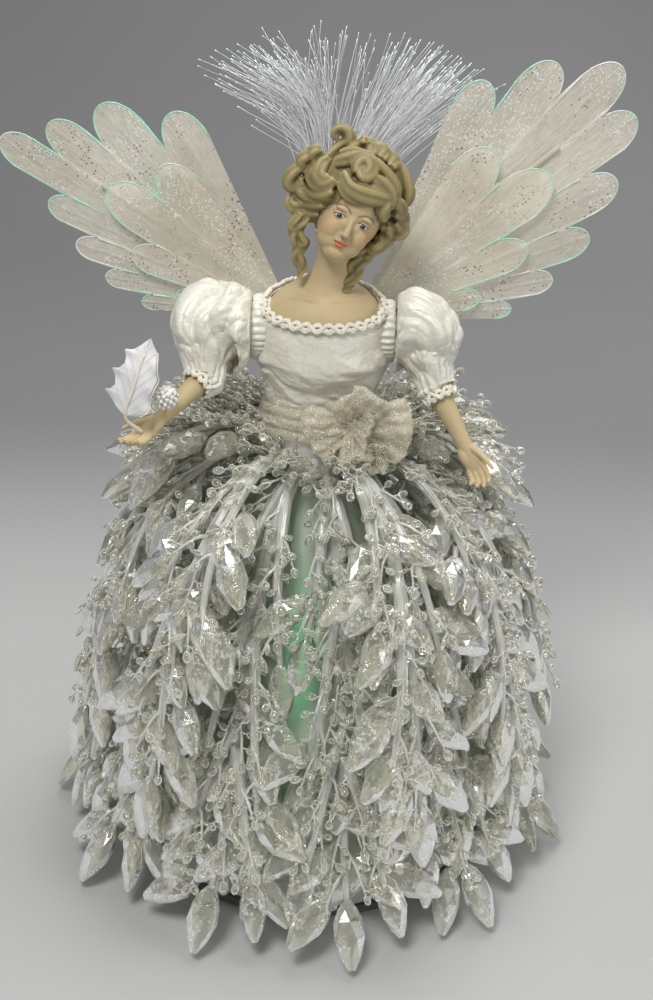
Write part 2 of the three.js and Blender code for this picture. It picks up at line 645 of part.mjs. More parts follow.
function trunkTube(radius) {
  const start = ferruleFoot + seatGap;
  const clear = ferruleFoot + ferrule.length + seatGap;
  const places = trunkRouteShares.map(([aside, back, up]) =>
    point(-aside * lamp.offset, back * trunkEnd.y, clear + up * (trunkEnd.z - clear)),
  );
  const route = [point(-lamp.offset, 0, start), point(-lamp.offset, 0, clear), ...places];
  const section = new THREE.Shape().absellipse(0, 0, radius, radius, 0, 2 * Math.PI);
  return solid(
    new THREE.ExtrudeGeometry(section, {
      steps: trunk.steps,
      bevelEnabled: false,
      extrudePath: new THREE.CatmullRomCurve3(route),
      curveSegments: trunk.sides / 2,
    }),
  );
}

const trunkRoom = () => trunkTube(trunk.radius + core.trunkClearance);

/** Strands in rows that spread evenly from one backing, so that none crosses another. */
function fibreTuft() {
  const rows = tuft.strands / tuft.columns;
  const foot = trunkEnd.z + 4 * seatGap;
  const top = foot + tuft.backingThickness;
  const backing = solid(drum(tuft.backingRadius, foot, top, trunkEnd.x, trunkEnd.y, 20));
  const root = tuft.backingRadius - 2 * tuft.strandRadius;
  const corners = [];
  for (let column = 0; column < tuft.columns; column++) {
    for (let row = 0; row < rows; row++) {
      // a square grid of places, drawn in to a disc
      const [a, b] = [(2 * (column + 0.5)) / tuft.columns - 1, (2 * (row + 0.5)) / rows - 1];
      const [u, v] = [a * Math.sqrt(1 - (b * b) / 2), b * Math.sqrt(1 - (a * a) / 2)];
      const start = point(trunkEnd.x + u * root, trunkEnd.y + v * root, (foot + top) / 2);
      const droop = tuft.droop * u * u;
      const end = start.clone().add(
        point(u * root * (tuft.spreadShare - 1), tuft.backLean + v * tuft.depthSpread, tuft.length - droop),
      );
      const strand = taperedTube([start, end], [tuft.strandRadius, 0], 3);
      corners.push(...strand.attributes.position.array);
    }
  }
  return join(backing, solid(geometryOf(corners)));
}

// The torso

const stack = (heights, halfWidths, halfDepths, count, out = 0, wave = undefined) => {
  const level = (rise, i) => levelRing(waist + rise, halfWidths[i] + out, halfDepths[i] + out, count, wave);
  return solid(loft(heights.map(level)));
};

/** The rounded shoulders, grown by a length. */
const shoulderDome = (out) =>
  solid(
    egg(
      shoulders.halfWidth + out, shoulders.halfDepth + out, shoulders.rise + out,
      point(0, shoulders.set, shoulderHeight), 14, 8,
    ),
  );

function torsoCore() {
  const stub = cone.neckRadius - cone.wall - seatGap;
  const body = join(
    stack(coreHeights, coreHalfWidths, coreHalfDepths, core.sides),
    solid(drum(stub, waist - core.stubDepth, waist + overrun, 0, 0, core.sides)),
  );
  const room = shoulderBall.radius + seatGap;
  const sockets = [-1, 1].map((hand) => {
    const seat = hand * shoulderBall.spread;
    const socket = solid(ball(room, point(seat, 0, ballHeight), 12, 8));
    return join(socket, sideways(room, seat, 2 * seat, ballHeight));
  });
  return cut(body, ...sockets, trunkRoom());
}

/** The hollow for the core in the bust and the bodice. */
function coreRoom() {
  const last = coreHeights.length - 1;
  const ends = { 0: -overrun, [last]: seatGap };
  const heights = coreHeights.map((rise, i) => rise + (ends[i] ?? 0));
  return stack(heights, coreHalfWidths, coreHalfDepths, core.sides, 2 * seatGap);
}

const armholes = () =>
  [-1, 1].map((hand) => {
    const seat = hand * shoulderBall.spread;
    return sideways(armhole.radius, seat - hand * armhole.radius, 2 * seat, ballHeight);
  });

const headCentre = point(head.leanAside, -head.leanForward, shoulderHeight + head.aboveShoulders);
const headTurn = new THREE.Quaternion().setFromEuler(
  new THREE.Euler(radians(head.nod), radians(head.tilt), radians(head.turn), "YXZ"),
);

/** A place in the head's own frame, in shares of its half sizes. */
const onHead = ([x, y, z]) =>
  point(x * head.halfWidth, y * head.halfDepth, z * head.halfHeight)
    .applyQuaternion(headTurn)
    .add(headCentre);

const headEgg = (halfWidth, halfDepth, halfHeight, centre, across, up) =>
  solid(egg(halfWidth, halfDepth, halfHeight, centre, across, up, headTurn));

/** A lock of hair through places on the head, thickest in its middle. */
function lock(places, radius) {
  const line = new THREE.CatmullRomCurve3(places.map(onHead));
  const steps = places.length;
  const swell = (i) => 0.45 + 0.55 * Math.sin((Math.PI * (i + 0.6)) / (steps + 1));
  const points = line.getPoints(steps);
  return solid(taperedTube(points, points.map((_, i) => radius * swell(i)), hair.lockSides));
}

/** Shoulder plate, neck, face and hair, moulded in one. */
function bust() {
  const { halfWidth, halfDepth, halfHeight } = head;
  const root = point(0, 2 * shoulders.set, shoulderHeight + 0.72 * shoulders.rise);
  const top = headCentre.clone().add(point(shoulders.set, -shoulders.set, -0.55 * halfHeight));
  const middle = root.clone().lerp(top, 0.45);
  const neckRadii = [neck.rootRadius, neck.radius, neck.radius];
  const throat = solid(taperedTube([root, middle, top], neckRadii, neck.sides));
  const skull = headEgg(halfWidth, halfDepth, halfHeight, headCentre, 12, 8);
  const noseRadii = [nose.rootRadius, nose.radius, nose.wingRadius];
  const noseTube = solid(taperedTube(noseShares.map(onHead), noseRadii, 6));
  const cap = headEgg(hair.halfWidth, hair.halfDepth, hair.halfHeight, onHead(hairCentreShares), 10, 7);
  const face = headEgg(halfWidth, halfDepth, halfHeight, onHead(faceOpeningShares), 8, 6);
  const locks = lockShares.map((places) => lock(places, hair.lockRadius));
  const ringlets = ringletShares.map((places) => lock(places, hair.ringletRadius));
  const plateShell = cut(shoulderDome(0), below(yokeHeight + seatGap), coreRoom());
  const all = join(plateShell, throat, skull, noseTube, cut(cap, face), ...locks, ...ringlets);
  return cut(all, ...armholes(), trunkRoom());
}

/** The bodice: folds up to the yoke, then plain cloth over the shoulders, open at the neck and arms. */
function bodice() {
  const { thickness, foldDepth, folds, pointsPerFold, hemLift } = bodiceCloth;
  const fold = (angle) => 1 + (foldDepth / bodiceHalfWidths[0]) * Math.cos(folds * angle);
  const heights = bodiceHeights.map((rise, i) => (i === 0 ? hemLift : rise));
  const outer = join(
    stack(heights, bodiceHalfWidths, bodiceHalfDepths, folds * pointsPerFold, 0, fold),
    cut(shoulderDome(thickness + seatGap), below(yokeHeight - overrun)),
  );
  const opening = new THREE.CylinderGeometry(1, 1, shoulders.rise, 14).rotateX(Math.PI / 2);
  opening.scale(neckline.halfWidth, neckline.halfDepth, 1);
  opening.translate(0, neckline.set, coreTop + shoulders.rise / 2 - overrun);
  const hollow = cut(shoulderDome(seatGap), below(yokeHeight));
  return cut(outer, coreRoom(), hollow, solid(opening), ...armholes(), trunkRoom());
}

/** A wavy braid laid on the bodice round the neckline. */
function necklineBraid() {
  const steps = braid.neckWaves * braid.stepsPerWave;
  const lift = bodiceCloth.thickness + 2 * seatGap + braid.radius;
  const points = Array.from({ length: steps }, (_, i) => {
    const angle = (2 * Math.PI * i) / steps;
    const wave = braid.wave * (1 + Math.cos(braid.neckWaves * angle));
    const x = (neckline.halfWidth + wave) * Math.sin(angle);
    const y = neckline.set - (neckline.halfDepth + wave) * Math.cos(angle);
    const [a, b] = [x / (shoulders.halfWidth + lift), (y - shoulders.set) / (shoulders.halfDepth + lift)];
    return point(x, y, shoulderHeight + (shoulders.rise + lift) * Math.sqrt(1 - a * a - b * b));
  });
  return solid(loopTube(points, braid.radius, braid.sides));
}

const sashFoot = waist + sash.lift;
const sashIn = [bodiceHalfWidths[1], bodiceHalfDepths[1]].map(
  (half) => half + bodiceCloth.foldDepth + sash.ease + seatGap,
);

function waistSash() {
  const wave = (angle) => 1 + sash.foldShare * Math.cos(sash.folds * angle + 1);
  const count = 3 * sash.folds;
  const outer = sashHeightShares.map((share, i) => {
    const [a, b] = sashIn.map((half) => half + sash.thickness * sashSwellShares[i]);
    return levelRing(sashFoot + sash.height * share, a, b, count, wave);
  });
  const ends = [sashFoot - overrun, sashFoot + sash.height + overrun];
  const inner = ends.map((z) => levelRing(z, ...sashIn, count));
  return cut(solid(loft(outer)), solid(loft(inner)));
}

const sashOut = sashIn.map((half) => (half + sash.thickness) * (1 + sash.foldShare));
const bowKnot = point(bow.offset, bow.knotSink - sashOut[1] - bow.knotRadius, waist + bow.rise);

/** A bow loop: a puff of cloth, gathered where it meets the knot. */
function bowLoop({ way, lengthShare }, turn) {
  const length = bow.loopLength * lengthShare;
  const forward = wayOf(way);
  const up = point(0, 0, 1).addScaledVector(forward, -forward.z).normalize();
  const side = forward.clone().cross(up);
  const fold = (angle) => 1 + bowFoldShare * Math.cos(bow.folds * angle + turn);
  const rings = bowLengthShares.map((share, i) => {
    const place = bowKnot.clone().addScaledVector(forward, length * share);
    const [high, deep] = [bow.loopHeight * bowSizeShares[i], bow.loopDepth * bowSizeShares[i]];
    return ring(place, up, side, high, deep, 3 * bow.folds, fold);
  });
  return solid(loft(rings));
}

function sashBow() {
  const made = join(solid(ball(bow.knotRadius, bowKnot)), ...bowLoops.map(bowLoop));
  const count = 3 * sash.folds;
  const keepOff = [waist - 2 * bow.loopHeight, waist + 4 * bow.loopHeight].map((z) =>
    levelRing(z, sashOut[0] + seatGap, sashOut[1] + seatGap, count),
  );
  return cut(made, solid(loft(keepOff)));
}

// The arms

const ballOf = (arm) => point(arm.hand * shoulderBall.spread, 0, ballHeight);
const armholeOf = (arm) => ballOf(arm).add(point(arm.hand * armWire.straight, 0, 0));
const mirrorWay = (arm, [x, y, z]) => wayOf([Math.abs(x) * arm.hand, y, z]);
const elbowOf = (arm) => armholeOf(arm).addScaledVector(mirrorWay(arm, arm.upperWay), upperArm.length);
const foreWayOf = (arm) => mirrorWay(arm, arm.foreWay);
const alongForearm = (arm, length) => elbowOf(arm).addScaledVector(foreWayOf(arm), length);

/** The wire inside an arm: out of the armhole in a straight run, round a bend and into the forearm. */
function wireTube(arm, radius) {
  const places = [ballOf(arm), armholeOf(arm), elbowOf(arm), alongForearm(arm, armWire.plugDepth)];
  const points = new THREE.CatmullRomCurve3(places).getPoints(armWire.steps);
  return solid(taperedTube(points, points.map(() => radius), armWire.sides));
}

const shoulderWire = (arm) =>
  join(solid(ball(shoulderBall.radius, ballOf(arm))), wireTube(arm, armWire.radius));
const wireRoom = (arm) => wireTube(arm, armWire.radius + seatGap);

/** One finger of the hand, from its knuckle, bent towards the palm. */
function fingerTube(aside, knuckles, reach, bend) {
  const first = point(aside, 0, knuckles);
  const second = point(1.12 * aside, -0.5 * reach * Math.sin(0.6 * bend), knuckles + 0.5 * reach);
  const last = point(0.1 * aside, -0.5 * reach * Math.sin(1.8 * bend), 0.5 * reach * Math.cos(1.8 * bend));
  const radii = [finger.radius, finger.radius, finger.tipRadius];
  return solid(taperedTube([first, second, second.clone().add(last)], radii, finger.sides));
}

function thumbTube(arm) {
  const { halfWidth, halfLength } = palm;
  const at = (out, front, up) =>
    point(arm.hand * out * halfWidth, -front * halfWidth, forearm.length + up * halfLength);
  const radii = [1.5 * finger.radius, 1.25 * finger.radius, finger.tipRadius];
  return solid(taperedTube([at(0.5, 0, 0.4), at(1.45, 0.5, 1.1), at(1.75, 0.75, 1.9)], radii, 5));
}

/** Forearm, palm, fingers and thumb in one, bored for the wire. */
function handAndForearm(arm) {
  const { length, topRadius, wristRadius, sides } = forearm;
  const shaft = taperedTube(
    [0, 0.5 * length, length, length + palm.halfLength].map((z) => point(0, 0, z)),
    [topRadius, 0.92 * topRadius, wristRadius, 0.8 * wristRadius], sides,
  );
  const palmCentre = point(0, 0, length + 0.95 * palm.halfLength);
  const palmEgg = egg(palm.halfWidth, palm.halfDepth, palm.halfLength, palmCentre, 9, 7);
  const knuckles = length + 1.45 * palm.halfLength;
  const fingers = fingerLengthShares.map((share, k) => {
    const aside = arm.hand * (1.5 - k) * finger.spacing;
    return fingerTube(aside, knuckles, finger.length * share, radians(arm.curl + 5 * k));
  });
  const made = join(solid(shaft), solid(palmEgg), ...fingers, thumbTube(arm));
  return cut(solid(aimed(surface(made), elbowOf(arm), foreWayOf(arm), wayOf(arm.palmFacing))), wireRoom(arm));
}

/** A puffed sleeve, flat at the armhole so that it can swing there, and drawn in at the cuff. */
function puffSleeve(arm) {
  const start = armholeOf(arm);
  const place = ([x, y, z]) => start.clone().add(point(arm.hand * x, y, z).multiplyScalar(sleeve.reach));
  const cuffShares = [0.8, 1];
  const cuffs = cuffShares.map((share) => alongForearm(arm, share * cuff.fromElbow));
  const centres = [...arm.puffShares.map(place), ...cuffs];
  const puffRadii = arm.puffRadiusShares.map((share) => share * sleeve.radius);
  const radii = [...puffRadii, 1.1 * cuff.radius, 0.95 * cuff.radius];
  const wave = (angle) => 1 + sleeve.foldShare * Math.cos(sleeve.folds * angle);
  const count = sleeve.folds * sleeve.pointsPerFold;
  const puff = solid(taperedTube(centres, radii, count, point(0, 0, 1), wave));
  const size = 4 * plate.radius;
  const inward = new THREE.BoxGeometry(size, size, size);
  inward.translate(arm.hand * (sleeve.plane - size / 2), 0, waist);
  const room = forearm.topRadius + seatGap;
  const through = taperedTube([-seatGap, forearm.length].map((z) => alongForearm(arm, z)), [room, room], 12);
  return cut(puff, solid(inward), solid(through), wireRoom(arm));
}

function cuffBraid(arm) {
  const steps = braid.cuffWaves * braid.stepsPerWave;
  const axis = foreWayOf(arm);
  const centre = alongForearm(arm, cuff.fromElbow + 3.5 * seatGap + braid.radius + braid.wave);
  const across = point(0, 0, 1).addScaledVector(axis, -axis.z).normalize();
  const radius = 0.95 * forearm.topRadius + 1.2 * seatGap + braid.radius;
  const round = ring(centre, across, axis.clone().cross(across), radius, radius, steps);
  const points = round.map((p, i) =>
    p.addScaledVector(axis, 0.5 * braid.wave * Math.cos((2 * Math.PI * i) / braid.stepsPerWave)),
  );
  return solid(loopTube(points, braid.radius, braid.sides));
}

// Held in the right hand

/** A place over the right forearm and palm, on the palm's side. */
function overArm(along, lift) {
  const arm = arms.right;
  const way = foreWayOf(arm);
  const up = wayOf(arm.palmFacing);
  up.addScaledVector(way, -up.dot(way)).normalize();
  return alongForearm(arm, along).addScaledVector(up, lift);
}

/** The leaf's blade with its rib, which runs on as a stem and rests across the palm. */
function clothLeaf() {
  const stemEnd = overArm(leaf.alongArm, 0.6 * palm.halfDepth + seatGap + leaf.ribRadius);
  const foot = stemEnd.clone().addScaledVector(wayOf(leaf.stemWay), leaf.stemLength);
  const outline = leafOutlineShares.map(([x, z]) => new THREE.Vector2(x * leaf.width, z * leaf.length));
  const flat = { depth: leaf.thickness, bevelEnabled: false };
  const blade = new THREE.ExtrudeGeometry(new THREE.Shape(outline), flat);
  blade.rotateX(Math.PI / 2).translate(0, leaf.thickness / 2, 0);
  const way = wayOf(leaf.way);
  const places = [stemEnd, foot, foot.clone().addScaledVector(way, 0.9 * leaf.length)];
  const rib = taperedTube(places, [leaf.ribRadius, leaf.ribRadius, leaf.ribRadius / 2], 6);
  return join(solid(aimed(blade, foot, way, wayOf(leaf.facing))), solid(rib));
}

function beadedBerry() {
  const stemEnd = overArm(berry.alongArm, forearm.wristRadius + seatGap + berry.stemRadius);
  const centre = stemEnd.clone().addScaledVector(wayOf(berry.stemWay), berry.stemLength);
  const wire = taperedTube([stemEnd, centre], [berry.stemRadius, berry.stemRadius], 5);
  return join(solid(ball(berry.radius, centre, 10, 7)), solid(wire));
}

// The wings

const bracketFace = Math.max(...bodiceHalfDepths) + bodiceCloth.foldDepth + seatGap;
const wingPlane =
  bracketFace + bracket.thickness + wing.wireRadius + wing.layerGap + wing.sheet + 2 * seatGap;
const wingRoot = (hand) => point(hand * bracket.spread, wingPlane, waist + bracket.aboveWaist);

function wingBracket() {
  const middle = wingRoot(1).z;
  const body = new THREE.BoxGeometry(bracket.width, bracket.thickness, bracket.height);
  body.translate(0, bracketFace + bracket.thickness / 2, middle);
  const bores = [-1, 1].map((hand) => {
    const radius = bracket.pinRadius + seatGap;
    const bore = new THREE.CylinderGeometry(radius, radius, 2 * bracket.thickness + 2 * overrun, 10);
    return solid(bore.translate(hand * bracket.spread, bracketFace, middle));
  });
  return cut(solid(body), ...bores, trunkRoom());
}

/** The outline of a sheet of feathers about the wing's root: a rounded tip for each, with a notch between. */
function featherOutline(shares) {
  const list = shares.map(([degrees, share]) => [degrees, share * wing.length]);
  const from = 2 * bracket.pinRadius + seatGap;
  const last = list.length - 1;
  const edge = (i) => {
    if (i < 0) return 1.5 * list[0][0] - 0.5 * list[1][0];
    if (i >= last) return 1.5 * list[last][0] - 0.5 * list[last - 1][0];
    return (list[i][0] + list[i + 1][0]) / 2;
  };
  const places = [];
  list.forEach(([, length], i) => {
    const [low, high] = [edge(i - 1), edge(i)];
    if (i > 0) places.push([low, feather.notchShare * Math.min(length, list[i - 1][1])]);
    for (let k = 0; k < feather.pointsPerTip; k++) {
      const across = (2 * (k + 0.5)) / feather.pointsPerTip - 1;
      const halfWidth = (length * radians(high - low)) / 2;
      const roundOff = feather.tipShare * halfWidth * (1 - Math.sqrt(1 - across * across));
      places.push([(low + high) / 2 + (across * (high - low)) / 2, length - roundOff]);
    }
  });
  const outline = [[edge(-1), from], ...places, [edge(last), from]];
  return outline.map(([degrees, reach]) =>
    new THREE.Vector2(reach, 0).rotateAround(new THREE.Vector2(), radians(degrees)),
  );
}

/** A sheet of feathers, swept back a little, before or behind the wire. */
function featherSheet(hand, shares, layer) {
  const outline = new THREE.Shape(featherOutline(shares));
  const sheet = new THREE.ExtrudeGeometry(outline, { depth: wing.sheet, bevelEnabled: false });
  sheet.rotateX(Math.PI / 2).translate(0, layer + wing.sheet / 2, 0).rotateZ(radians(wing.sweep));
  const root = wingRoot(hand);
  return solid((hand < 0 ? mirrored(sheet) : sheet).translate(root.x, root.y, root.z));
}

/** The wire between a wing's two sheets, with the pin that turns in the bracket. */
function wingWire({ hand, wireRise, wireShare }) {
  const root = wingRoot(hand);
  const wireLength = wireShare * wing.length;
  const pinEnd = root.clone().add(point(0, bracketFace + seatGap - root.y, 0));
  const pin = solid(taperedTube([pinEnd, root], [bracket.pinRadius, bracket.pinRadius], 8));
  const [angle, sweep] = [radians(wireRise), radians(wing.sweep)];
  const at = (length, lift) => {
    const out = length * Math.cos(angle);
    const up = length * Math.sin(angle) + lift;
    return point(hand * out * Math.cos(sweep), out * Math.sin(sweep), up).add(root);
  };
  const start = root.clone().add(point(-hand * bracket.pinRadius, 0, 0));
  const places = [start, at(0.25 * wireLength, 0), at(0.6 * wireLength, wing.wireLift), at(wireLength, 0)];
  const line = new THREE.CatmullRomCurve3(places).getPoints(7);
  return join(pin, solid(taperedTube(line, line.map(() => wing.wireRadius), 6)));
}

// Assembly
add("base_plate", basePlate(), "casing");
add("power_inlet", powerInlet(), "black");
add("lamp_socket", lampSocket(), "ceramic");
add("reflector_lamp", reflectorLamp(), "metal");
add("wheel_motor", wheelMotor(), "metal");
add("colour_wheel", colourWheel(), "film");
add("lamp_housing", lampHousing(), "metal");
add("fibre_ferrule", fibreFerrule(), "metal");
add("skirt_cone", skirtCone(), "frosted");
add("overskirt", overskirt(), "overskirt");
add("spray_collar", sprayCollar(), "casing");

for (const [name, tier] of Object.entries(tiers)) {
  tier.azimuths.forEach((azimuth, i) => add(`${name}_spray_${i + 1}`, spray(tier, azimuth), "crystal"));
}

add("torso_core", torsoCore(), "casing");
add("bodice", bodice(), "satin");
add("neckline_braid", necklineBraid(), "trim");
add("bust", bust(), "bisque");
add("waist_sash", waistSash(), "tulle");
add("sash_bow", sashBow(), "tulle");
add("fibre_trunk", trunkTube(trunk.radius), "fibre");
add("fibre_tuft", fibreTuft(), "fibre");

for (const [side, arm] of Object.entries(arms)) {
  add(`${side}_arm_wire`, shoulderWire(arm), "metal");
  add(`${side}_forearm`, handAndForearm(arm), "bisque");
  add(`${side}_sleeve`, puffSleeve(arm), "satin");
  add(`${side}_cuff_braid`, cuffBraid(arm), "trim");
}
add("cloth_leaf", clothLeaf(), "leaf");
add("beaded_berry", beadedBerry(), "glitter");

add("wing_bracket", wingBracket(), "casing");
const layerSpacing = wing.wireRadius + wing.layerGap + wing.sheet / 2;
for (const [side, one] of Object.entries(wings)) {
  add(`${side}_wing_wire`, wingWire(one), "metal");
  add(`${side}_wing_back_feathers`, featherSheet(one.hand, one.backShares, layerSpacing), "wing");
  add(`${side}_wing_front_feathers`, featherSheet(one.hand, one.frontShares, -layerSpacing), "wing");
}

export default angel;
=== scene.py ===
"""A beaded angel figurine: a bisque half doll with feathered wings and a tuft of optical fibres, on a
skirt of clear moulded sprays that is lit from its base."""

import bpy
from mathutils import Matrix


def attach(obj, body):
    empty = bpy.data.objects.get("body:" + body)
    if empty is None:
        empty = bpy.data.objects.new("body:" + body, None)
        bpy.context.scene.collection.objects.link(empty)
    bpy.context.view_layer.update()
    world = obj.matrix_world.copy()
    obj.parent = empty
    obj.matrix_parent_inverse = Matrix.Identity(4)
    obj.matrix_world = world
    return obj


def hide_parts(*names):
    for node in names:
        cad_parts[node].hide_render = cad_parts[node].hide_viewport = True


bl_info = {
    "name": "Beaded angel figurine",
    "version": (1, 0, 0),
    "blender": (4, 5, 0),
    "location": "3D View > Sidebar > Angel",
    "description": "Builds the figurine's bisque, cloth, wings, fibres and crystal skirt over its frame",
    "category": "Object",
}

import functools
import math
import random

import bmesh
import bpy
import numpy as np
from mathutils import Matrix, Vector, noise

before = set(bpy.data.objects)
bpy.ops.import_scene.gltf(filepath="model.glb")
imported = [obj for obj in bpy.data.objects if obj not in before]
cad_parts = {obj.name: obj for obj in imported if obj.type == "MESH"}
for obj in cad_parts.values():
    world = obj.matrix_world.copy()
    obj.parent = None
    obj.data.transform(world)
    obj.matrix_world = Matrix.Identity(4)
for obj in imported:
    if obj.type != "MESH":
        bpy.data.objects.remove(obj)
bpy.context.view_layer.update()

# Blender would seed the noise of the folds from the clock
FOLD_SEED = 1795885248
noise.seed_set(FOLD_SEED)

MM = 0.001
UP = Vector((0, 0, 1))


def mm(x, y, z):
    """A place or size given in millimetres."""
    return Vector((x, y, z)) * MM


# ---- Sizes and colours that a user would change


def length(name, description, default):
    return bpy.props.FloatProperty(
        name=name, description=description, default=default * MM, unit="LENGTH", precision=5, min=0
    )


def share(name, description, default):
    return bpy.props.FloatProperty(
        name=name, description=description, default=default, subtype="FACTOR", min=0, max=1
    )


def colour(name, description, red, green, blue):
    return bpy.props.FloatVectorProperty(
        name=name, description=description, default=linear(red, green, blue)[:3], subtype="COLOR", size=3
    )


def linear(red, green, blue):
    """A screen colour of 0 to 255 as the scene-linear colour that a shader takes."""
    screen = [value / 255 for value in (red, green, blue)]
    return (*[v / 12.92 if v <= 0.04045 else ((v + 0.055) / 1.055) ** 2.4 for v in screen], 1.0)


class SkirtSettings(bpy.types.PropertyGroup):
    drop_length: length("Drop length", "Length of the faceted drops", 29)
    drop_width: length("Drop width", "Width of the faceted drops", 14.5)
    bud_size: length("Bud size", "Length of the small beads along the sprigs", 4.6)
    sprig_length: length("Sprig length", "Length of a side sprig at the widest place", 21)
    crystal: colour("Crystal", "Colour of the clear moulded drops", 246, 245, 230)
    milky: colour("Milky stems", "Colour of the ribbed stems", 250, 250, 242)
    glow: colour("Glow", "Colour of the light inside the skirt", 92, 214, 150)


class FigureSettings(bpy.types.PropertyGroup):
    skin: colour("Bisque", "Colour of the face, chest and hands", 200, 180, 139)
    hair: colour("Hair", "Colour of the moulded hair", 184, 167, 113)
    lips: colour("Lips", "Colour of the lips", 205, 104, 74)
    blush: colour("Blush", "Colour of the cheeks", 190, 138, 86)
    brows: colour("Brows", "Colour of the brows and lashes", 100, 76, 56)
    iris: colour("Iris", "Colour of the eyes", 48, 66, 90)


class DressSettings(bpy.types.PropertyGroup):
    satin: colour("Satin", "Colour of the sleeves and bodice", 233, 230, 215)
    trim: colour("Gimp", "Colour of the gimp braid", 243, 238, 220)
    tulle: colour("Tulle", "Colour of the sash and bow", 230, 221, 195)
    wing: colour("Wing", "Colour of the wings' glittered film", 250, 243, 222)
    rim: colour("Wing edge", "Colour of the wings' bound edge", 190, 222, 204)
    fold_depth: share("Fold depth", "Depth of the sleeves' folds, of their radius", 0.15)


class TuftSettings(bpy.types.PropertyGroup):
    strands: bpy.props.IntProperty(name="Strands", description="Number of optical fibres", default=420, min=20)
    strand_width: length("Strand width", "Width of one optical fibre", 0.3)
    spread: length("Spread", "Reach of the outermost fibres to a side", 70)


class AngelSettings(bpy.types.PropertyGroup):
    skirt: bpy.props.PointerProperty(type=SkirtSettings)
    figure: bpy.props.PointerProperty(type=FigureSettings)
    dress: bpy.props.PointerProperty(type=DressSettings)
    tuft: bpy.props.PointerProperty(type=TuftSettings)


def settings():
    return bpy.context.scene.angel


# ---- Shapes


def add_object(name, data):
    made = bpy.data.objects.new(name, data)
    bpy.context.scene.collection.objects.link(made)
    return made


def as_mesh(name, bm):
    mesh = bpy.data.meshes.new(name)
    bm.to_mesh(mesh)
    bm.free()
    return mesh


def repacked(bm):
    """The same mesh with its parts in order, as stamp needs after some were deleted."""
    mesh = as_mesh("repacked", bm)
    fresh = bmesh.new()
    fresh.from_mesh(mesh)
    bpy.data.meshes.remove(mesh)
    return fresh


def smooth_path(points, count):
    """count + 1 evenly spaced points along a smooth curve through the given ones."""
    points = [Vector(p) for p in points]
    ends = [2 * points[0] - points[1], *points, 2 * points[-1] - points[-2]]
    dense, cuts = [], 12
    for a, b, c, d in zip(ends, ends[1:], ends[2:], ends[3:]):
        for k in range(cuts):
            t = k / cuts
            dense.append(
                0.5 * (2 * b + (c - a) * t + (2 * a - 5 * b + 4 * c - d) * t**2 + (3 * b - a - 3 * c + d) * t**3)
            )
    dense.append(points[-1])
    along = [0.0]
    for a, b in zip(dense, dense[1:]):
        along.append(along[-1] + (b - a).length)
    path, k = [], 0
    for step in range(count + 1):
        goal = along[-1] * step / count
        while k < len(dense) - 2 and along[k + 1] < goal:
            k += 1
        run = along[k + 1] - along[k]
        path.append(dense[k].lerp(dense[k + 1], (goal - along[k]) / run if run else 0))
    return path


def directions(path, across=None):
    """For each point of a path, two directions across it, carried along without a twist, and the one ahead."""
    found = []
    for i in range(len(path)):
        forward = (path[min(i + 1, len(path) - 1)] - path[max(i - 1, 0)]).normalized()
        if across is None:
            across = UP if abs(forward.z) < 0.9 else Vector((1, 0, 0))
        across = (across - forward * across.dot(forward)).normalized()
        found.append((across, forward.cross(across), forward))
    return found


def ring(across, side, angle):
    """The direction at an angle round a line, from its two directions across."""
    return across * math.cos(angle) + side * math.sin(angle)


def facing(forward, up=UP):
    """A matrix whose third direction is forward and whose second is as near to up as it can be."""
    forward = forward.normalized()
    side = up.cross(forward)
    side = side.normalized() if side.length > 1e-6 else Vector((1, 0, 0))
    return Matrix((side, forward.cross(side), forward)).transposed()


def aimed(forward, front):
    """Turns a shape made along +Z with its front to -Y to face a direction."""
    forward = Vector(forward).normalized()
    back = -Vector(front)
    back = (back - forward * back.dot(forward)).normalized()
    return Matrix((back.cross(forward), back, forward)).transposed()


def drum(sides, rings, closed=True):
    """A drum of unit radius that stands on the origin, a unit high, its side cut into rings."""
    bm = bmesh.new()
    bmesh.ops.create_cone(bm, cap_ends=closed, segments=sides, radius1=1, radius2=1, depth=1)
    upright = [e for e in bm.edges if abs(e.verts[0].co.z - e.verts[1].co.z) > 0.5]
    if rings > 1:
        bmesh.ops.subdivide_edges(bm, edges=upright, cuts=rings - 1)
    for vert in bm.verts:
        vert.co.z += 0.5
    return bm


@functools.cache
def spool(sides, rings, closed):
    return as_mesh("spool", drum(sides, rings, closed))


@functools.cache
def unit_ball(across, up):
    bm = bmesh.new()
    bmesh.ops.create_uvsphere(bm, u_segments=across, v_segments=up, radius=1)
    return as_mesh("ball", bm)


def stamp(bm, mesh, place, finish=0):
    """Adds a copy of a mesh, each of its points moved by place. Gives its faces."""
    first, first_face = len(bm.verts), len(bm.faces)
    bm.from_mesh(mesh)
    bm.verts.ensure_lookup_table()
    bm.faces.ensure_lookup_table()
    for vert in bm.verts[first:]:
        vert.co = place(vert.co)
    faces = bm.faces[first_face:]
    for face in faces:
        face.material_index = finish
    return faces


def tube(bm, path, radii, sides=8, across=None, wave=None, finish=0, closed=True):
    """A tube along a path. A radius may be a pair: across, and along the second direction."""
    ways = directions(path, across)
    last = len(path) - 1

    def place(co):
        i = round(co.z * last)
        radius = radii[i] if hasattr(radii, "__len__") else radii
        wide, deep = radius if hasattr(radius, "__len__") else (radius, radius)
        out = wave(math.atan2(co.y, co.x), i / last) if wave else 1
        return path[i] + ways[i][0] * (co.x * wide * out) + ways[i][1] * (co.y * deep * out)

    return stamp(bm, spool(sides, last, closed), place, finish)


def taper(count, places, sizes):
    """count + 1 radii in metres that follow the sizes in millimetres given for places along a tube."""
    return [size * MM for size in np.interp(np.linspace(0, 1, count + 1), places, sizes)]


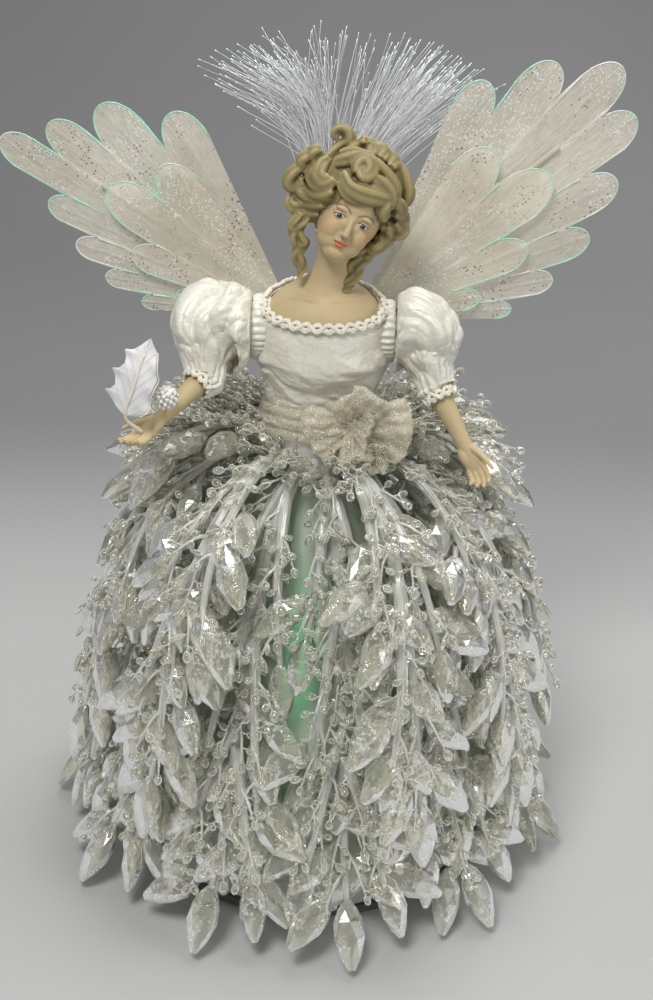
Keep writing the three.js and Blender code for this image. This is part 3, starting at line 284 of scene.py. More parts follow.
def egg(bm, centre, sizes, across=16, up=12, turn=None):
    """An egg shape about a centre. turn is a matrix of its three directions."""
    turn = turn or Matrix.Identity(3)
    sizes = Vector(sizes)
    return stamp(bm, unit_ball(across, up), lambda co: centre + turn @ (co * sizes))


def grid_piece(columns, rows, place, wrap=False):
    """A sheet of columns by rows of faces, each corner put by place(u, v) with u and v from 0 to 1."""
    bm = bmesh.new()
    bmesh.ops.create_grid(bm, x_segments=columns, y_segments=rows, size=0.5)
    for vert in bm.verts:
        vert.co = place(vert.co.x + 0.5, vert.co.y + 0.5)
    if wrap:
        bmesh.ops.remove_doubles(bm, verts=bm.verts, dist=1e-6)
    return bm


def map_flat(faces, layer, place):
    """Gives each corner of the faces its place on a flat map."""
    for face in faces:
        for loop in face.loops:
            loop[layer].uv = place(loop.vert.co)


def piece(name, bm, body, finishes, nodes=(), faceted=()):
    """Makes an object of a bmesh, which rides on a body and stands for the named nodes. Its faces are smooth,
    except those whose finish is a faceted one."""
    bmesh.ops.recalc_face_normals(bm, faces=bm.faces)
    mesh = as_mesh(name, bm)
    made = add_object(name, mesh)
    for finish in finishes:
        mesh.materials.append(material(finish))
    mesh.polygons.foreach_set("use_smooth", [p.material_index not in faceted for p in mesh.polygons])
    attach(made, body)
    if nodes:
        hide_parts(*nodes)
    return made


def fused(name, bm, size, passes):
    """Shells that overlap, as one skin of small faces, smoothed."""
    mesh = as_mesh(name, bm)
    made = add_object(name, mesh)
    remesh = made.modifiers.new("Fuse", "REMESH")
    remesh.mode, remesh.voxel_size = "VOXEL", size
    relax = made.modifiers.new("Relax", "SMOOTH")
    relax.factor, relax.iterations = 0.5, passes
    ready = made.evaluated_get(bpy.context.evaluated_depsgraph_get())
    result = bmesh.new()
    result.from_mesh(ready.to_mesh())
    ready.to_mesh_clear()
    bpy.data.objects.remove(made)
    bpy.data.meshes.remove(mesh)
    return result


def thicken(made, thickness, offset=0.0):
    solid = made.modifiers.new("Thickness", "SOLIDIFY")
    solid.thickness, solid.offset = thickness * MM, offset


def crumple(at, sharp=1.0):
    """Folds with sharp valleys, as satin takes them: about -0.4 to 0.6 at a place on the unit scale."""
    bent = at + noise.noise_vector(at * 0.8) * 0.55
    broad = abs(noise.noise(bent))
    fine = abs(noise.noise(bent * 2.3 + Vector((7, 3, 1))))
    return 1.5 * (broad**0.8 - 0.3) + 0.6 * sharp * (fine**0.8 - 0.3)


# ---- Materials


class Tree:
    """The node tree of a material or world, with short calls to build it."""

    def __init__(self, owner):
        owner.use_nodes = True
        self.tree = owner.node_tree
        self.tree.nodes.clear()

    @functools.cached_property
    def place(self):
        return self.node("TexCoord").outputs["Object"]

    def node(self, kind, inputs=None, **values):
        made = self.tree.nodes.new("ShaderNode" + kind)
        for name, value in values.items():
            setattr(made, name, value)
        for name, value in (inputs or {}).items():
            self.give(made.inputs[name], value)
        return made

    def give(self, socket, value):
        if isinstance(value, bpy.types.NodeSocket):
            self.tree.links.new(value, socket)
        else:
            socket.default_value = value

    def uv(self, name):
        return self.node("UVMap", uv_map=name).outputs["UV"]

    def parts(self, socket):
        return self.node("SeparateXYZ", {"Vector": socket}).outputs

    def moved(self, at, **values):
        """A pattern's place, shifted, turned or scaled."""
        return self.node("Mapping", {"Vector": at, **values}).outputs["Vector"]

    def away(self, at):
        """The distance of a place from the pattern's middle."""
        return self.node("VectorMath", {0: at}, operation="LENGTH").outputs["Value"]

    def noise(self, scale, detail=3, rough=0.5, at=None, stretch=None):
        at = at or self.place
        if stretch:
            at = self.moved(at, Scale=stretch)
        values = {"Vector": at, "Scale": scale, "Detail": detail, "Roughness": rough}
        return self.node("TexNoise", values).outputs["Fac"]

    def cells(self, scale):
        """Small cells: the distance from their middles, and three random shares for each."""
        made = self.node("TexVoronoi", {"Vector": self.place, "Scale": scale})
        return made.outputs["Distance"], self.parts(made.outputs["Color"])

    def glitter(self, scale, least):
        """Masks for flakes of glitter, for their various tints and for their tilt."""
        red, green, blue = self.cells(scale)[1]
        return self.fit(red, least, least + 0.04), green, blue

    def ramp(self, value, *stops):
        """Colours by a value. A stop is its position, red, green and blue."""
        made = self.node("ValToRGB", {"Fac": value})
        elements = made.color_ramp.elements
        while len(elements) < len(stops):
            elements.new(0.5)
        for element, (position, *paint) in zip(elements, stops):
            element.position = position
            element.color = (*paint, 1)
        return made.outputs["Color"]

    def math(self, operation, a, b=0.0):
        made = self.node("Math", operation=operation)
        self.give(made.inputs[0], a)
        self.give(made.inputs[1], b)
        return made.outputs[0]

    def times(self, a, b):
        return self.math("MULTIPLY", a, b)

    def fit(self, value, low, high, to_low=0.0, to_high=1.0):
        """A value eased from one range to another."""
        values = {"Value": value, "From Min": low, "From Max": high, "To Min": to_low, "To Max": to_high}
        return self.node("MapRange", values, interpolation_type="SMOOTHSTEP").outputs["Result"]

    def mix(self, factor, a, b):
        made = self.node("Mix", data_type="RGBA")
        for socket, value in zip((made.inputs[0], made.inputs[6], made.inputs[7]), (factor, a, b)):
            self.give(socket, value)
        return made.outputs[2]

    def mottle(self, pattern, base, dark, light, low=0.3, high=0.7):
        """A colour between a darker and a lighter shade of a base, by a pattern."""
        return self.mix(self.fit(pattern, low, high), shade(base, dark), shade(base, light))

    def bump(self, height, strength, depth, normal=None):
        values = {"Height": height, "Strength": strength, "Distance": depth * MM}
        if normal:
            values["Normal"] = normal
        return self.node("Bump", values).outputs["Normal"]

    def finish(self, **values):
        """Ends in one shader, whose inputs are named with underlines for their spaces."""
        inputs = {name.replace("_", " "): value for name, value in values.items()}
        shader = self.node("BsdfPrincipled", inputs).outputs[0]
        self.node("OutputMaterial", {"Surface": shader})


def rgba(setting):
    return (*setting, 1.0)


def shade(paint, factor):
    return (*[min(1.0, value * factor) for value in paint[:3]], 1.0)


@functools.cache
def material(name):
    """The finish of that name, made when it is first asked for."""
    made = bpy.data.materials.new(name)
    FINISHES[name](Tree(made))
    return made


def fired(t, tint, patches, dullest, grain):
    """Ends in painted bisque: matt, finely grained and a little translucent."""
    t.finish(
        Base_Color=tint, Roughness=t.fit(patches, 0.2, 0.8, 0.5, dullest),
        Normal=t.bump(t.noise(2600, 2), grain, 0.05), IOR=1.45,
        Subsurface_Weight=0.08, Subsurface_Scale=0.0012, Subsurface_Radius=(1, 0.5, 0.3),
    )


def bisque(t):
    """Painted bisque, a little darker here and there."""
    patches = t.noise(45, 4)
    skin = rgba(settings().figure.skin)
    fired(t, t.mottle(patches, skin, 0.93, 1.06, 0.35, 0.7), patches, 0.64, 0.12)


def from_oval(t, at, centre, sizes, turn):
    """A flat pattern's place as seen from an oval's middle, in shares of its half widths."""
    moved = t.moved(at, Location=(-centre[0], -centre[1], 0))
    return t.moved(t.moved(moved, Rotation=(0, 0, -turn)), Scale=(1 / sizes[0], 1 / sizes[1], 0))


def oval(t, at, centre, sizes, turn=0.0, soft=0.25):
    """A mask of an oval on a flat pattern: 1 inside, 0 outside."""
    return t.fit(t.away(from_oval(t, at, centre, sizes, turn)), 1 + soft, 1 - soft)


def arc(t, at, centre, sizes, width, part, turn=0.0):
    """A mask of a painted line along an oval's edge, kept where part of it is wanted."""
    spot = from_oval(t, at, centre, sizes, turn)
    line = t.fit(t.math("ABSOLUTE", t.math("SUBTRACT", t.away(spot), 1.0)), width, width * 0.35)
    return t.times(line, t.fit(t.parts(spot)[1], *part))


def painted_face(t):
    """The face: bisque with painted brows, lids, eyes, lips and cheeks on a flat map of the head's front."""
    figure, at = settings().figure, t.uv("face")
    patches = t.noise(45, 4)
    skin, blush, lips, brows = (rgba(paint) for paint in (figure.skin, figure.blush, figure.lips, figure.brows))
    coats = []
    for side in (-1, 1):
        eye_x, eye_y = side * EYE[0], EYE[1]
        iris_x, iris_y = eye_x + GLANCE[0], eye_y + GLANCE[1]
        lean = side * -0.1
        white = oval(t, at, (eye_x, eye_y), (2.3, 0.86), lean, 0.12)
        iris = t.times(oval(t, at, (iris_x, iris_y), (1.1, 1.1), 0, 0.14), white)
        pupil = t.times(oval(t, at, (iris_x, iris_y), (0.55, 0.55), 0, 0.2), white)
        glint = oval(t, at, (iris_x - 0.3, iris_y + 0.3), (0.17, 0.17), 0, 0.4)
        upper_lashes = arc(t, at, (eye_x, eye_y - 0.35), (2.55, 1.25), 0.16, (-0.05, 0.5), lean)
        lower_lashes = arc(t, at, (eye_x, eye_y + 0.1), (2.4, 1.05), 0.06, (-0.4, -0.8), lean)
        cheek = oval(t, at, (side * CHEEK[0], CHEEK[1]), (3.9, 4.6), 0, 0.95)
        lid = oval(t, at, (eye_x, eye_y + 2.0), (3.3, 1.6), lean, 0.5)
        brow = arc(t, at, (eye_x, eye_y + 0.3), (4.3, 4.3), 0.13, (0.34, 0.7))
        crease = arc(t, at, (eye_x, eye_y - 0.2), (3.2, 2.3), 0.08, (0.1, 0.5))
        nostril = oval(t, at, (side * 1.05, NOSTRIL), (0.42, 0.3), 0, 0.5)
        coats += [
            (cheek, blush, 0.4), (lid, shade(skin, 1.12), 0.6), (brow, brows, 0.62), (crease, shade(brows, 1.3), 0.5),
            (white, linear(204, 196, 180), 1.0), (iris, rgba(figure.iris), 1.0), (pupil, linear(18, 20, 26), 1.0),
            (glint, linear(230, 230, 228), 0.8), (upper_lashes, shade(brows, 0.32), 0.95),
            (lower_lashes, brows, 0.45), (nostril, shade(lips, 0.55), 0.55),
        ]
    mouth = oval(t, at, (0, MOUTH - 0.75), (2.1, 0.98), 0, 0.2)
    upper = [oval(t, at, (side * 1.25, MOUTH + 0.42), (1.95, 0.72), side * -0.22, 0.2) for side in (-1, 1)]
    mouth = t.math("MAXIMUM", t.math("MAXIMUM", *upper), mouth)
    parting = arc(t, at, (0, MOUTH + 2.6), (4.6, 2.75), 0.035, (-0.64, -0.78))
    tint = t.mottle(patches, skin, 0.95, 1.06, 0.35, 0.7)
    for mask, paint, strength in (*coats, (mouth, lips, 0.82), (parting, shade(lips, 0.35), 0.85)):
        tint = t.mix(t.times(mask, strength), tint, paint)
    fired(t, tint, patches, 0.62, 0.1)


def painted_hair(t):
    """Moulded hair: dull gold paint, darker where it lies deep between the locks."""
    hair = rgba(settings().figure.hair)
    # painted shade: darker in the hollows between the locks, by how enclosed each point is
    hollow = t.node("AmbientOcclusion", {"Distance": 0.004}, samples=8).outputs["AO"]
    tint = t.mottle(t.noise(240, 5, 0.6, stretch=(1, 1, 0.35)), hair, 0.82, 1.16, 0.3, 0.75)
    curve = t.node("NewGeometry").outputs["Pointiness"]
    # painted shade: darker in the grooves, where the surface curves in
    worn = t.mix(t.fit(curve, 0.49, 0.56), shade(hair, 0.5), tint)
    tint = t.mix(t.fit(hollow, 0.25, 0.9), shade(hair, 0.36), worn)
    grooves = t.bump(t.noise(520, 3, 0.6, stretch=(1, 1, 0.3)), 0.22, 0.16)
    t.finish(Base_Color=tint, Roughness=0.5, Normal=grooves, IOR=1.45, Coat_Weight=0.08, Coat_Roughness=0.4)


def satin(t):
    """White satin: a soft sheen with fine drawn streaks, and creases too fine to model."""
    base = rgba(settings().dress.satin)
    tint = t.mottle(t.noise(28, 4), base, 0.9, 1.04, 0.3, 0.75)
    drawn = t.noise(420, 5, 0.7, stretch=(1, 1, 0.6))
    creases = t.bump(t.noise(95, 5, 0.62, stretch=(1, 1, 1.5)), 0.7, 1.9)
    t.finish(
        Base_Color=t.mix(t.fit(drawn, 0.3, 0.7), shade(base, 0.91), tint),
        Roughness=t.fit(drawn, 0.3, 0.7, 0.22, 0.4), Specular_IOR_Level=0.9, Anisotropic=0.4,
        Normal=t.bump(t.noise(1300, 3, 0.7, stretch=(1, 1, 0.6)), 0.35, 0.12, creases),
        Sheen_Weight=0.4, Sheen_Roughness=0.3, Sheen_Tint=(1, 1, 1, 1),
    )


def gimp(t):
    """Cream gimp: a plied cotton cord."""
    ply = t.noise(1500, 3, 0.6)
    t.finish(
        Base_Color=t.mottle(ply, rgba(settings().dress.trim), 0.82, 1.05), Roughness=0.75,
        Normal=t.bump(ply, 0.6, 0.3), Sheen_Weight=0.4, Sheen_Roughness=0.5,
    )


def glitter_tulle(t):
    """Beige tulle, half clear, strewn with fine glitter."""
    flakes, tints, tilt = t.glitter(1900, 0.93)
    cloth_tint = t.mottle(t.noise(60, 4), rgba(settings().dress.tulle), 0.88, 1.08)
    flake_tint = t.ramp(
        tints, (0.0, 1, 0.98, 0.94), (0.6, 0.98, 0.9, 0.88), (0.85, 0.72, 0.93, 0.82), (0.95, 0.84, 0.78, 0.95),
        (1.0, 0.3, 0.2, 0.22),
    )
    net = t.noise(1500, 2, 0.6)
    t.finish(
        Base_Color=t.mix(flakes, cloth_tint, flake_tint), Sheen_Weight=0.2, Specular_IOR_Level=0.6,
        Alpha=t.math("MAXIMUM", t.fit(net, 0.35, 0.62, 0.16, 0.46), flakes),
        Roughness=t.math("SUBTRACT", 0.55, t.times(flakes, 0.38)),
        Normal=t.bump(t.times(tilt, flakes), 0.8, 0.35),
    )


def wing_film(t):
    """The wings' cloth: thin pale film with fine glitter, dark red flakes and a fibrous grain."""
    base, uv = rgba(settings().dress.wing), t.uv("film")
    flakes, tints, tilt = t.glitter(1350, 0.8)
    flakes = t.times(flakes, t.fit(t.noise(38, 3), 0.38, 0.56, 0.25, 1.0))
    feather = t.noise(1.0, 1, at=t.moved(uv, Scale=(0.6, 9, 1)))
    body = t.mix(t.fit(t.noise(26, 5, 0.6), 0.34, 0.66), linear(224, 214, 190), shade(base, 1.0))
    body = t.mix(t.fit(feather, 0.62, 0.36, 0.0, 0.5), body, shade(base, 0.74))
    body = t.mix(t.times(t.fit(t.noise(19, 2), 0.52, 0.68), 0.3), body, linear(205, 222, 196))
    flake_tint = t.ramp(
        tints, (0.0, 1, 1, 0.98), (0.55, 0.95, 0.87, 0.85), (0.8, 0.98, 0.95, 0.9), (0.92, 0.66, 0.9, 0.78),
        (1.0, 0.8, 0.68, 0.85),
    )
    tint = t.mix(t.times(flakes, 0.8), body, flake_tint)
    from_middle, (_, chosen, _) = t.cells(620.0)
    dark = t.times(t.fit(chosen, 0.68, 0.7), t.fit(from_middle, 0.32, 0.24))
    dark = t.times(dark, t.fit(t.noise(32, 3), 0.42, 0.58, 0.12, 1.0))
    fibres = t.noise(1.0, 4, 0.65, at=t.moved(uv, Scale=(14, 260, 1)))
    t.finish(
        Base_Color=t.mix(t.times(dark, 0.9), tint, linear(118, 62, 62)),
        Roughness=t.math("SUBTRACT", 0.5, t.times(flakes, 0.36)), Sheen_Weight=0.15, Specular_IOR_Level=0.8,
        Alpha=t.math("MAXIMUM", t.fit(fibres, 0.35, 0.65, 0.54, 0.86), t.times(flakes, 0.95)),
        Normal=t.bump(t.math("ADD", t.times(tilt, flakes), t.times(fibres, 0.6)), 0.8, 0.3),
    )


def wing_edge(t):
    """The wings' bound edge: a clear cord that shines green here and there."""
    tint = t.ramp(
        t.noise(34, 3), (0.36, 0.86, 0.83, 0.79), (0.46, *settings().dress.rim), (0.6, 0.36, 0.86, 0.6)
    )
    # painted glow: the cord gives off a little light of its own tint
    t.finish(
        Base_Color=tint, Roughness=0.25, Coat_Weight=0.5, Coat_Roughness=0.15, Transmission_Weight=0.2,
        Emission_Color=tint, Emission_Strength=0.16, Normal=t.bump(t.noise(1500, 2), 0.4, 0.15),
    )


def facing_away(t, blend):
    """How far a surface turns away from the eye, 0 to 1."""
    return t.node("LayerWeight", {"Blend": blend}).outputs["Facing"]


def crystal(t):
    """Clear faceted acrylic: bright along its edges, with a crackle inside that glints."""
    from_middle, (red, green, blue) = t.cells(860.0)
    flakes = t.times(t.fit(red, 0.82, 0.86), t.fit(t.noise(90, 2), 0.42, 0.6))
    # the flakes' tints are painted coloured glints
    glints = t.ramp(
        green, (0.0, 1, 1, 0.99), (0.55, 0.98, 0.93, 0.95), (0.78, 0.76, 0.95, 0.88), (0.92, 0.84, 0.87, 0.98),
        (1.0, 0.96, 0.94, 0.82),
    )
    # painted highlight: the acrylic turns milky white where it faces away, so that its edges look bright
    milk_and_painted_rim = t.math("MAXIMUM", t.times(flakes, 0.5), t.fit(facing_away(t, 0.45), 0.42, 0.96, 0.13, 0.82))
    t.finish(
        Base_Color=t.mix(flakes, rgba(settings().skirt.crystal), glints), Roughness=0.05, IOR=1.49,
        Transmission_Weight=t.math("SUBTRACT", 1.0, milk_and_painted_rim), Coat_Weight=0.6, Coat_Roughness=0.03,
        Normal=t.bump(t.math("ADD", from_middle, t.times(blue, 0.8)), 0.16, 0.3), Specular_IOR_Level=0.8,
    )


def crystal_bead(t):
    """The small beads along the sprigs: clear in the middle, with a bright rim."""
    # painted highlight: the bead turns white towards its rim
    t.finish(
        Base_Color=t.mottle(t.noise(160, 2), rgba(settings().skirt.crystal), 0.95, 1.04), Roughness=0.07, IOR=1.46,
        Transmission_Weight=t.fit(facing_away(t, 0.5), 0.4, 0.62, 0.92, 0.02), Coat_Weight=0.7, Coat_Roughness=0.03,
    )


def milky_stem(t):
    """The ribbed stems: the same acrylic, milkier where it is thick, bright along its ribs."""
    patches = t.noise(120, 3)
    # painted highlight: the stems turn milky white where they face away, so that their edges and ribs look bright
    clear = t.times(t.fit(facing_away(t, 0.5), 0.35, 0.8, 0.66, 0.06), t.fit(patches, 0.3, 0.7, 0.75, 1.0))
    t.finish(
        Base_Color=t.mottle(patches, rgba(settings().skirt.milky), 0.94, 1.05), IOR=1.49,
        Roughness=t.fit(patches, 0.2, 0.8, 0.08, 0.2), Transmission_Weight=clear,
        Normal=t.bump(patches, 0.25, 0.3), Coat_Weight=0.5, Coat_Roughness=0.06,
    )


def lit_skirt(t):
    """The gathered film under the sprays, lit green from inside, brightest in one streak at the front."""
    glow = rgba(settings().skirt.glow)
    pale = t.mix(t.fit(t.noise(16, 4, 0.6), 0.3, 0.7), linear(196, 199, 184), linear(226, 228, 212))
    lit = t.fit(t.away(t.moved(t.place, Location=(0.2, 0.5, -1.1), Scale=(26, 9, 9))), 1.7, 0.1)
    streak = t.fit(t.away(t.moved(t.place, Location=(0.47, 0, -3.0), Scale=(110, 0, 24))), 1.1, 0.2)
    folds = t.noise(9, 4, 0.6, stretch=(14, 14, 1))
    bright = t.times(lit, t.fit(folds, 0.38, 0.66))
    shine = t.math("ADD", t.times(bright, 0.045), t.times(streak, 0.26))
    t.finish(
        Base_Color=t.mix(t.times(lit, 0.22), pale, t.mix(0.4, pale, glow)), Roughness=0.3, IOR=1.45,
        Emission_Color=glow, Emission_Strength=t.math("ADD", shine, 0.003), Transmission_Weight=0.12,
        Normal=t.bump(t.noise(60, 4, 0.6, stretch=(1, 1, 0.15)), 0.6, 1.4), Coat_Weight=0.4, Coat_Roughness=0.2,
    )


def optical_fibre(t):
    """Drawn optical fibre: grey or white as it catches the light, with a lit tip."""
    along, strand, _ = t.parts(t.uv("along"))
    t.finish(
        Base_Color=t.ramp(strand, (0.0, 0.34, 0.34, 0.35), (0.5, 0.8, 0.8, 0.82), (1.0, 1, 1, 1)),
        Emission_Color=t.ramp(t.noise(45, 2), (0.42, 0.35, 0.9, 0.76), (0.6, 0.85, 0.97, 1)),
        Emission_Strength=t.times(t.fit(along, 0.985, 0.995), 0.8), Alpha=t.fit(strand, 0.0, 1.0, 0.5, 1.0),
        Roughness=0.2, IOR=1.49, Coat_Weight=0.5, Coat_Roughness=0.1,
    )


def leaf_cloth(t):
    """The leaf's cloth: pale, faintly violet, with veins pressed into it."""
    u, v, _ = t.parts(t.uv("blade"))
    slant = t.math("SUBTRACT", v, t.times(t.math("ABSOLUTE", u), 0.55))
    veins = t.fit(t.math("PINGPONG", t.times(slant, 6.0), 0.5), 0.06, 0.0)
    tint = t.mix(t.fit(t.noise(70, 4), 0.3, 0.7), linear(222, 222, 222), linear(242, 241, 238))
    t.finish(
        Base_Color=t.mix(t.times(veins, 0.35), tint, linear(244, 243, 240)), Roughness=0.62,
        Normal=t.bump(t.noise(1900, 3, 0.7), 0.25, 0.1, t.bump(veins, 0.6, 0.35)),
        Sheen_Weight=0.35, Sheen_Roughness=0.4,
    )


def cream_edge(t):
    """The leaf's cord edge and the stems: cream cotton."""
    tint = t.mix(t.noise(300, 3), linear(226, 216, 186), linear(244, 238, 220))
    t.finish(Base_Color=tint, Roughness=0.5, Normal=t.bump(t.noise(900, 2), 0.3, 0.15))


def berry_bead(t):
    """Clear and pearl beads, iced with glitter."""
    flakes, tints, _ = t.glitter(1500, 0.6)
    glints = t.ramp(tints, (0.0, 1, 1, 0.97), (1.0, 0.85, 0.9, 0.95))
    t.finish(
        Base_Color=t.mix(flakes, linear(222, 216, 202), glints), Roughness=0.2, Coat_Weight=0.4,
        Normal=t.bump(flakes, 0.5, 0.2),
    )


def spun_metal(t):
    """Drawn and spun steel, with a brushed grain."""
    grain = t.noise(300, 4, 0.6, stretch=(1, 1, 12))
    t.finish(
        Base_Color=t.mix(grain, (0.52, 0.52, 0.51, 1), (0.74, 0.74, 0.72, 1)), Metallic=1.0,
        Roughness=t.fit(grain, 0.2, 0.8, 0.28, 0.48), Normal=t.bump(grain, 0.1, 0.08),
    )


def colour_panes(t):
    """The wheel's four tinted panes, by the angle about its spindle."""
    x, y, _ = t.parts(t.moved(t.place, Location=(-0.011, 0, 0)))
    joint = (-0.0004, 0.0004)
    green = t.mix(t.fit(x, *joint), (0.12, 0.6, 0.38, 1), (0.2, 0.42, 0.85, 1))
    warm = t.mix(t.fit(x, *joint), (0.85, 0.3, 0.45, 1), (0.9, 0.75, 0.3, 1))
    t.finish(
        Base_Color=t.mix(t.fit(y, *joint), green, warm), Transmission_Weight=0.6, IOR=1.5,
        Roughness=t.fit(t.noise(200), 0.3, 0.7, 0.08, 0.16),
    )


def stage_floor(t):
    """A plain grey cloth, pale where it lies as the floor and darker where it hangs behind."""
    patches = t.noise(3, 3)
    floor = t.mix(patches, linear(184, 184, 183), linear(192, 192, 191))
    shaded_wall = t.mix(patches, linear(134, 134, 135), linear(142, 142, 143))
    # painted shade: the cloth is darker where it rises behind, where less light reaches it
    t.finish(Base_Color=t.mix(t.fit(t.parts(t.place)[1], 0.14, 0.5), floor, shaded_wall), Roughness=0.9)


def plain(base, roughness, metallic=0.0, depth=0.06, **more):
    """Moulded plastic, ceramic or metal with a fine grain and faint wear."""

    def build(t):
        patches = t.noise(90, 5, 0.6)
        t.finish(
            Base_Color=t.mottle(patches, base, 0.9, 1.06, 0.3, 0.75), Metallic=metallic,
            Roughness=t.fit(patches, 0.25, 0.75, roughness * 0.85, min(1, roughness * 1.2)),
            Normal=t.bump(t.noise(1400, 2), 0.15, depth), **more,
        )

    return build


FINISHES = {
    "pale_plastic": plain(linear(226, 224, 217), 0.5),
    "frosted_plastic": plain(linear(214, 224, 215), 0.55, Transmission_Weight=0.25, IOR=1.5, Coat_Weight=0.1),
    # painted shade: a dark grey, so that the base reads as the shade between the sprays
    "grey_plastic_as_shade": plain(linear(92, 94, 92), 0.45),
    "black_plastic": plain(linear(34, 34, 36), 0.45),
    "white_ceramic": plain(linear(232, 229, 219), 0.75, depth=0.12),
    "mirror_glass": plain((0.82, 0.82, 0.8, 1), 0.12, 1.0),
    "wire": plain((0.6, 0.6, 0.58, 1), 0.32, 1.0),
    "white_wire": plain(linear(212, 204, 184), 0.5, Sheen_Weight=0.1),
}
FINISHES |= {
    build.__name__: build
    for build in (
        bisque, painted_face, painted_hair, satin, gimp, glitter_tulle, wing_film, wing_edge, crystal, crystal_bead,
        milky_stem, lit_skirt, optical_fibre, leaf_cloth, cream_edge, berry_bead, spun_metal, colour_panes,
        stage_floor,
    )
}

# The finish of each solid of the frame that shows as it is
CAD_FINISHES = {
    "base_plate": "grey_plastic_as_shade",
    "power_inlet": "black_plastic",
    "lamp_socket": "white_ceramic",
    "reflector_lamp": "mirror_glass",
    "wheel_motor": "spun_metal",
    "colour_wheel": "colour_panes",
    "lamp_housing": "spun_metal",
    "fibre_ferrule": "spun_metal",
    "skirt_cone": "frosted_plastic",
    "spray_collar": "pale_plastic",
    "torso_core": "pale_plastic",
    "wing_bracket": "pale_plastic",
    "right_arm_wire": "wire",
    "left_arm_wire": "wire",
    "right_wing_wire": "white_wire",
    "left_wing_wire": "white_wire",
}


# ---- The bisque figure. Places are in millimetres, on the frame's own axes.

WAIST = 215.1
CONE_TOP = 194.3
SHOULDER = 254.1
ARM_LINE = 256.1
ARM_HOLE = 31
HEAD = mm(8.6, -8.8, 307.4)
HEAD_TURN = Matrix.Rotation(math.radians(25), 3, "Y") @ Matrix.Rotation(math.radians(-6), 3, "X")
# The shoulders' dome: its half sizes, and its middle's place to the back
CHEST = (29, 22.5, 26, -1)

# Places on the face, across and up from the head's middle
SOCKET = 5.3
EYE = (5.35, 2.6)
GLANCE = (-0.15, -0.1)
CHEEK = (8.0, -3.4)
MOUTH = -7.7
NOSTRIL = -4.3

# Head in overlapping egg shapes: middle and half sizes
HEAD_SHELLS = (
    ((0, 1, 4), (13.6, 15.2, 18)), ((0, -2.4, -6), (10.4, 11.3, 10.2)), ((0, -6.5, 8.5), (10, 8.3, 8)),
    ((0, -7.4, -11.9), (5.9, 5.5, 4.6)), ((0, -12.8, -8.6), (1.9, 1.5, 0.95)),
)
# The same for its left half: cheek, jaw, nostril, upper lip and brow
HALF_SHELLS = (
    ((5.3, -7.9, -3.8), (5.2, 5.5, 6.0)), ((4.2, -7.2, -8.2), (5.3, 5.7, 4.9)),
    ((1.3, -15.3, -3.7), (1.15, 1.5, 0.95)), ((1.15, -13.2, -7.0), (1.7, 1.35, 0.75)),
    ((5.2, -12.2, 5.6), (3.6, 1.9, 1.1)),
)


def on_head(x, y, z):
    return HEAD + HEAD_TURN @ mm(x, y, z)


def from_head(point):
    """A point's place across, behind and above the head's middle, in millimetres."""
    return HEAD_TURN.transposed() @ (point - HEAD) / MM


def chest(x, y, lift=0.0):
    """The point of the shoulders' dome above a place."""
    half_x, half_y, half_z, set_y = CHEST
    left = 1 - (x / (half_x + lift)) ** 2 - ((y - set_y) / (half_y + lift)) ** 2
    return mm(x, y, SHOULDER + (half_z + lift) * math.sqrt(max(left, 0)))


def skin_shells():
    """Head, neck and chest as overlapping shells, before they are fused."""
    bm = bmesh.new()
    shells = list(HEAD_SHELLS)
    shells += [((side * x, y, z), sizes) for side in (-1, 1) for (x, y, z), sizes in HALF_SHELLS]
    for middle, sizes in shells:
        egg(bm, on_head(*middle), mm(*sizes), 24, 16, HEAD_TURN)
    nose = ((-12.6, 5.2), (-14.4, 1.4), (-16.3, -1.6), (-16.7, -2.9), (-14.9, -4.2))
    tube(bm, [on_head(0, y, z) for y, z in nose], [v * MM for v in (1.0, 1.25, 1.5, 1.6, 1.0)], 12)
    neck = [mm(*place) for place in ((0, -1, 266), (0.5, -2.4, 272), (2, -3.5, 279), (4, -4.6, 287))]
    neck = smooth_path([*neck, on_head(-1, 3.5, -7), on_head(-1, 4, 0)], 20)
    tube(bm, neck, taper(20, (0, 0.15, 0.34, 0.6, 1), (19, 13.5, 9.4, 8.1, 8.4)), 24)
    egg(bm, mm(0, CHEST[3], SHOULDER), mm(*CHEST[:3]), 40, 28)
    for side in (-1, 1):
        bone = [chest(side * x, y, -0.7) for x, y in ((2.2, -15.2), (6.5, -13.8), (12, -11.5), (17.5, -9.2))]
        tube(bm, smooth_path(bone, 12), taper(12, (0, 0.15, 0.7, 1), (1.2, 1.6, 1.3, 0.8)), 10)
        cord = [chest(side * 1.8, -16.5, -2.6), mm(side * 3.8 + 1.4, -9.2, 280), mm(side * 6.3 + 4, -6.5, 290)]
        tube(bm, smooth_path(cord, 8), 1.5 * MM, 10)
    return bm


def dent(across, up, power=2):
    """The depth of a soft hollow, from a place measured in the hollow's own half sizes."""
    return math.exp(-(across**power) - up**2)


